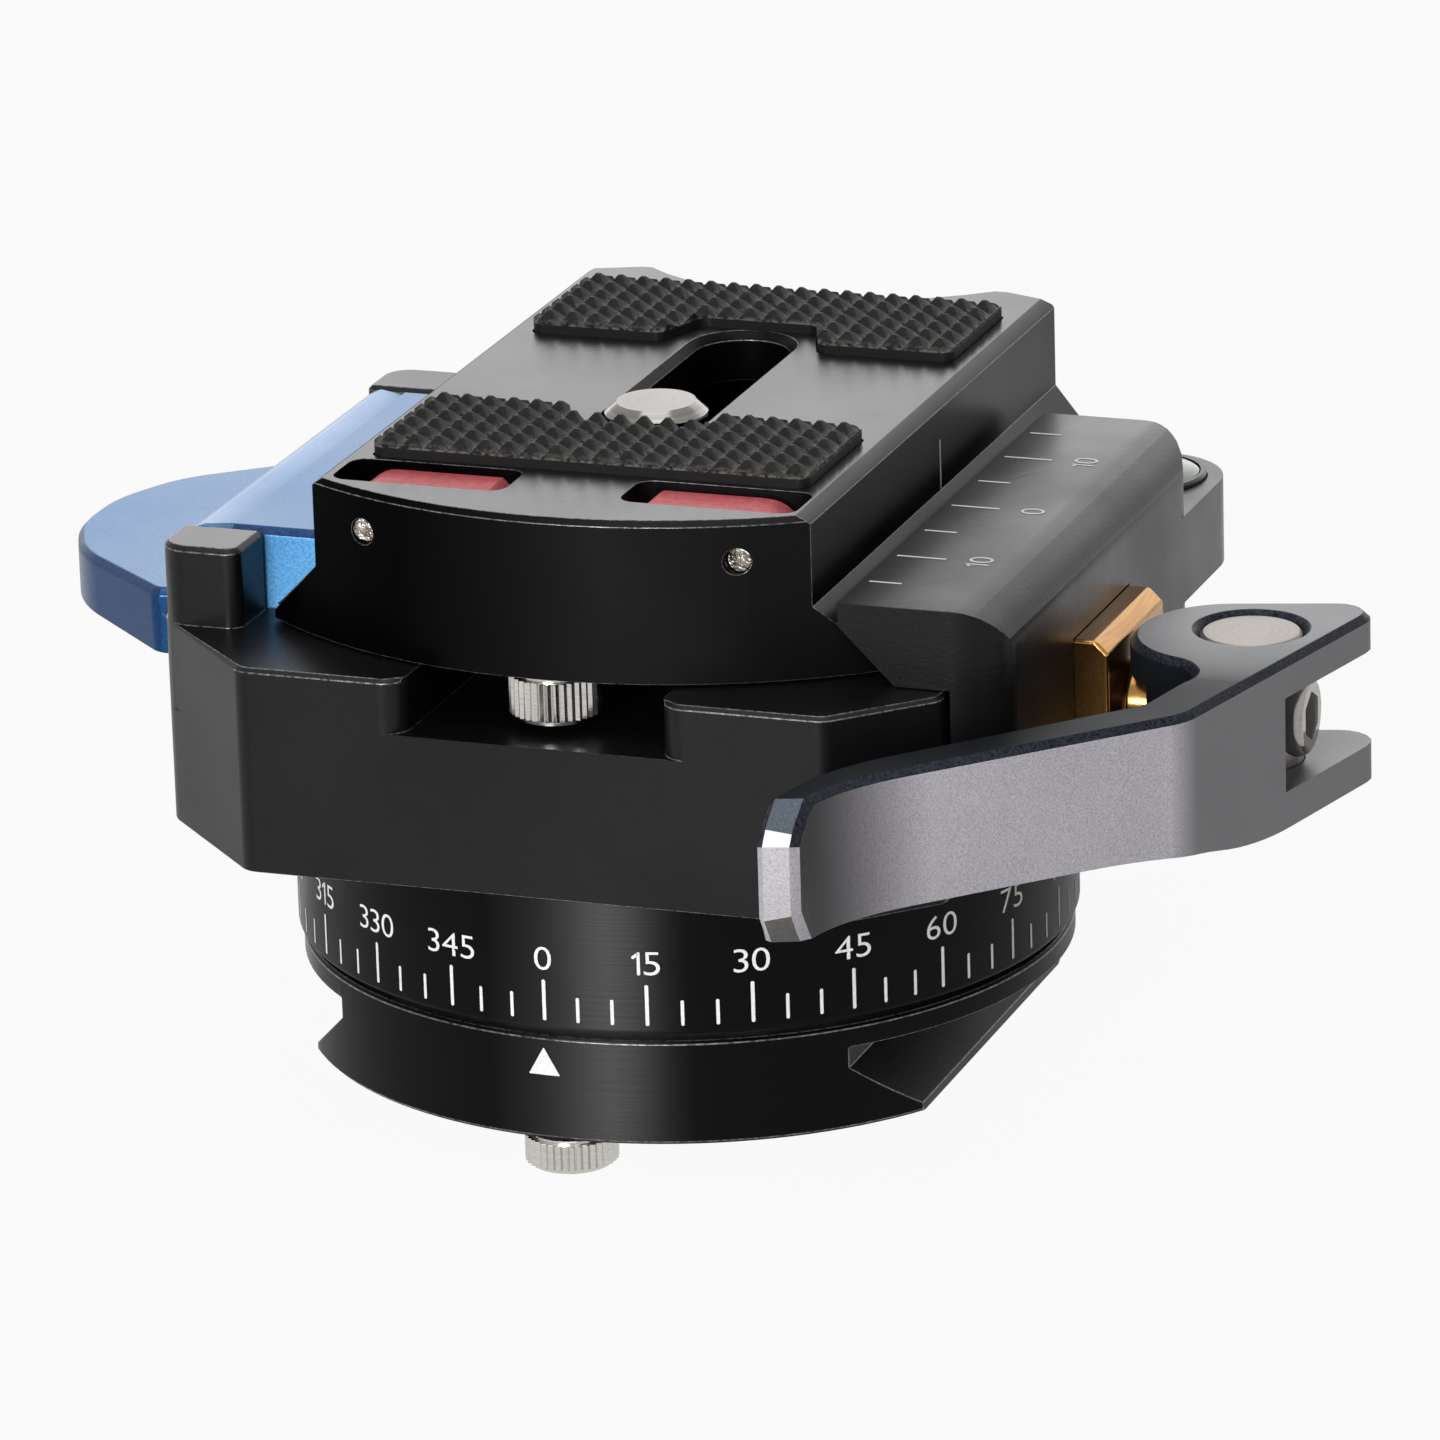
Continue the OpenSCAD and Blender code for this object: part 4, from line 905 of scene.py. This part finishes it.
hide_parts("camera_screw")


# Level: dark ring, green liquid, bubble with its target ring

VIAL_PROUD = 0.45
vial_low, vial_high = box_mm("level_vial")
vial_r = (vial_high.x - vial_low.x) / 2
vial_top = vial_high.z + VIAL_PROUD
ring = turned_stack("vial_ring", [
    (vial_low.z, 0), (vial_low.z, vial_r), (vial_top - 0.15, vial_r), (vial_top, vial_r - 0.15),
    (vial_top, vial_r - 0.35), (vial_top - 0.3, vial_r - 0.4), (vial_top - 0.3, 0)], vial_centre)
smooth(ring, 28)
paint(ring, VIAL_RING)
liquid = turned_stack("level_liquid", [
    (vial_top - 0.3, vial_r - 0.4), (vial_top - 0.05, vial_r - 0.45), (vial_top + 0.1, vial_r - 0.8),
    (vial_top + 0.25, vial_r - 1.6), (vial_top + 0.32, vial_r - 2.6), (vial_top + 0.35, 0)], vial_centre)
smooth(liquid, 40)
paint(liquid, LIQUID)
bubble = turned_stack("level_bubble", [
    (vial_top + 0.3, 1.3), (vial_top + 0.37, 1.1), (vial_top + 0.4, 0.6), (vial_top + 0.41, 0)], vial_centre)
smooth(bubble, 40)
paint(bubble, BUBBLE)
target = turned_stack("level_target", [
    (vial_top + 0.26, 1.75), (vial_top + 0.31, 1.85), (vial_top + 0.28, 1.98)], vial_centre)
smooth(target, 40)
paint(target, VIAL_RING)
for piece in (ring, liquid, bubble, target):
    settle(piece, body_of("level_vial"))
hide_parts("level_vial")


# Engraved marks, filled with white

dial_low, dial_high = box_mm("dial_ring")
dial_r = (dial_high.x - dial_low.x) / 2
TICK_FOOT, NUMBER_Z = 7.5, 11.3
# The dial's zero and the base's mark stand a little left of the front
DIAL_ZERO, INDEX_TURN = -1.1, -1.75
MAJOR, MAJOR_WIDTH, MINOR, MINOR_WIDTH = 2.5, 0.22, 1.55, 0.2
DIAL_FIGURE, SCALE_FIGURE = 1.42, 1.45
# Round marks start this far off their surface, and flat ones stay this far off it
OFF_ROUND, OFF_FLAT = 0.05, 0.02
facing_front = Matrix.Rotation(math.radians(90), 4, "X")
long_tick, short_tick = stroke(MAJOR_WIDTH, MAJOR), stroke(MINOR_WIDTH, MINOR)
marks = []
for degree in range(0, 360, 5):
    tick = short_tick if degree % 15 else long_tick
    turn = Matrix.Rotation(math.radians(degree + DIAL_ZERO), 4, "Z")
    marks.append(twin(tick, turn @ Matrix.Translation(at(0, -dial_r - OFF_ROUND, TICK_FOOT)) @ facing_front))
    if degree % 15 == 0:
        number = numeral(str(degree), DIAL_FIGURE)
        number.matrix_world = turn @ Matrix.Translation(at(0, -dial_r - OFF_ROUND, NUMBER_Z)) @ facing_front
        marks.append(number)
for spare in (long_tick, short_tick):
    bpy.data.objects.remove(spare)
dial_marks = join(marks, "dial_marks")
place_mesh(dial_marks)
wrap(dial_marks, dial)
paint(dial_marks, WHITE)
settle(dial_marks, body_of("dial_ring"))

base_low, base_high = box_mm("base_plate")
base_r = (base_high.x - base_low.x) / 2
INDEX_HALF, INDEX_FOOT, INDEX_TOP, INDEX_ROUND = 0.97, 4.0, 5.7, 0.06
bpy.ops.object.select_all(action="DESELECT")
bpy.ops.mesh.primitive_circle_add(vertices=3, radius=1, fill_type="NGON")
index = bpy.context.object
# A three-cornered circle of radius 1 is this wide to either side and 1.5 high
half_width = math.sqrt(3) / 2
index_height = INDEX_TOP - INDEX_FOOT
index.scale = (INDEX_HALF / half_width * MM, index_height / 1.5 * MM, 1)
place_mesh(index)
edit(index, "EDGE", lambda part: True)
bpy.ops.mesh.bevel(offset=INDEX_ROUND * MM, segments=2, affect="VERTICES")
leave()
index_turn = Matrix.Rotation(math.radians(INDEX_TURN), 4, "Z")
index_place = Matrix.Translation(at(0, -base_r - OFF_ROUND, INDEX_FOOT + index_height / 3))
index.matrix_world = index_turn @ index_place @ facing_front
place_mesh(index)
wrap(index, base)
index.name = "index_mark"
paint(index, WHITE)
settle(index, body_of("base_plate"))

# Millimetre scale on the jaw: ticks from the inner edge, numbers turned to be read from the lever's side
jaw_top = box_mm("clamp_jaw")[1].z + OFF_FLAT
SCALE_X, NUMBER_X = 17.1, 22.1
SCALE_WIDTH, SCALE_LONG, SCALE_SHORT = 0.22, 3.0, 2.0
scale_marks = []
across = Matrix.Rotation(math.radians(-90), 4, "Z")
quarter = Matrix.Rotation(math.radians(90), 4, "Z")
for y in range(-15, 20, 5):
    tick = stroke(SCALE_WIDTH, SCALE_SHORT if y % 10 else SCALE_LONG)
    tick.matrix_world = Matrix.Translation(at(SCALE_X, y, jaw_top)) @ across
    scale_marks.append(tick)
for y in (-10, 0, 10):
    number = numeral(str(abs(y)), SCALE_FIGURE)
    number.matrix_world = Matrix.Translation(at(NUMBER_X, y, jaw_top)) @ quarter
    scale_marks.append(number)
jaw_scale = join(scale_marks, "jaw_scale")
paint(jaw_scale, WHITE)
settle(jaw_scale, body_of("clamp_jaw"))

# Index line on the side of the plate, read against the jaw's scale
PLATE_SIDE, LINE_Y, LINE_FOOT, LINE_LENGTH, LINE_WIDTH = 15.2, 3.7, 32.6, 3.1, 0.24
line = stroke(LINE_WIDTH, LINE_LENGTH)
line_place = Matrix.Translation(at(PLATE_SIDE + OFF_FLAT, LINE_Y, LINE_FOOT))
line.matrix_world = line_place @ (quarter @ facing_front)
line.name = "plate_index_line"
paint(line, WHITE)
settle(line, body_of("plate"))


# Studio: pale floor, soft light from behind, above and the front

# Share of the floor that glows white when seen, its grey where light falls on it, and the world's fill light
FLOOR_GLOW, FLOOR_GREY, FILL = 0.94, 0.35, 0.09
FLOOR_SIZE, FLOOR_GAP = 6000, 0.02


def seen_directly(tree):
    """Output that is 1 for rays from the camera, off a gloss or through glass, and 0 for light that fills."""
    path = add(tree, "LightPath").outputs
    seen = add(tree, "Math", {0: path["Is Camera Ray"], 1: path["Is Glossy Ray"]}, operation="MAXIMUM")
    seen = add(tree, "Math", {0: seen.outputs[0], 1: path["Is Transmission Ray"]}, operation="MAXIMUM")
    return seen.outputs[0]


floor_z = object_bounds()[0][2]
bpy.ops.object.select_all(action="DESELECT")
bpy.ops.mesh.primitive_plane_add(size=FLOOR_SIZE * MM, location=(0, 0, floor_z - FLOOR_GAP * MM))
floor = bpy.context.object
floor.name = "studio_floor"
paper = bpy.data.materials.new("white_studio_paper")
paper.use_nodes = True
tree = paper.node_tree
tree.nodes.clear()
share = add(tree, "Math", {0: seen_directly(tree), 1: FLOOR_GLOW}, operation="MULTIPLY")
matt = add(tree, "BsdfDiffuse", {"Color": (FLOOR_GREY, FLOOR_GREY, FLOOR_GREY, 1)})
glow = add(tree, "Emission", {"Color": (1, 1, 1, 1), "Strength": 1.0})
mixed = add(tree, "MixShader", {0: share.outputs[0], 1: matt.outputs[0], 2: glow.outputs[0]})
add(tree, "OutputMaterial", {"Surface": mixed.outputs[0]})
paint(floor, paper)

world = bpy.data.worlds.new("white_studio")
bpy.context.scene.world = world
world.use_nodes = True
tree = world.node_tree
tree.nodes.clear()
level = add(tree, "MapRange", {"Value": seen_directly(tree), "To Min": FILL, "To Max": 1.0})
sky = add(tree, "Background", {"Color": (1, 1, 1, 1), "Strength": level.outputs[0]})
add(tree, "OutputWorld", {"Surface": sky.outputs[0]})


AIM_POINT = at(0, 0, 20)


def softbox(name, place, width, height, power):
    """Rectangular soft light that faces the clamp: place and size in millimetres, power in watts."""
    lamp = bpy.data.lights.new(name, "AREA")
    lamp.shape = "RECTANGLE"
    lamp.size = width * MM
    lamp.size_y = height * MM
    lamp.energy = power
    box = bpy.data.objects.new(name, lamp)
    bpy.context.scene.collection.objects.link(box)
    aim = AIM_POINT - at(*place)
    turn = aim.to_track_quat("-Z", "Y").to_matrix().to_4x4()
    box.matrix_world = Matrix.Translation(at(*place)) @ turn


softbox("back_softbox", (-150, 700, 380), 1100, 700, 2.4)
softbox("top_softbox", (0, -100, 700), 500, 500, 1.6)
softbox("front_softbox", (-10, -620, 150), 220, 260, 4.2)

bpy.context.scene.view_settings.view_transform = "Standard"
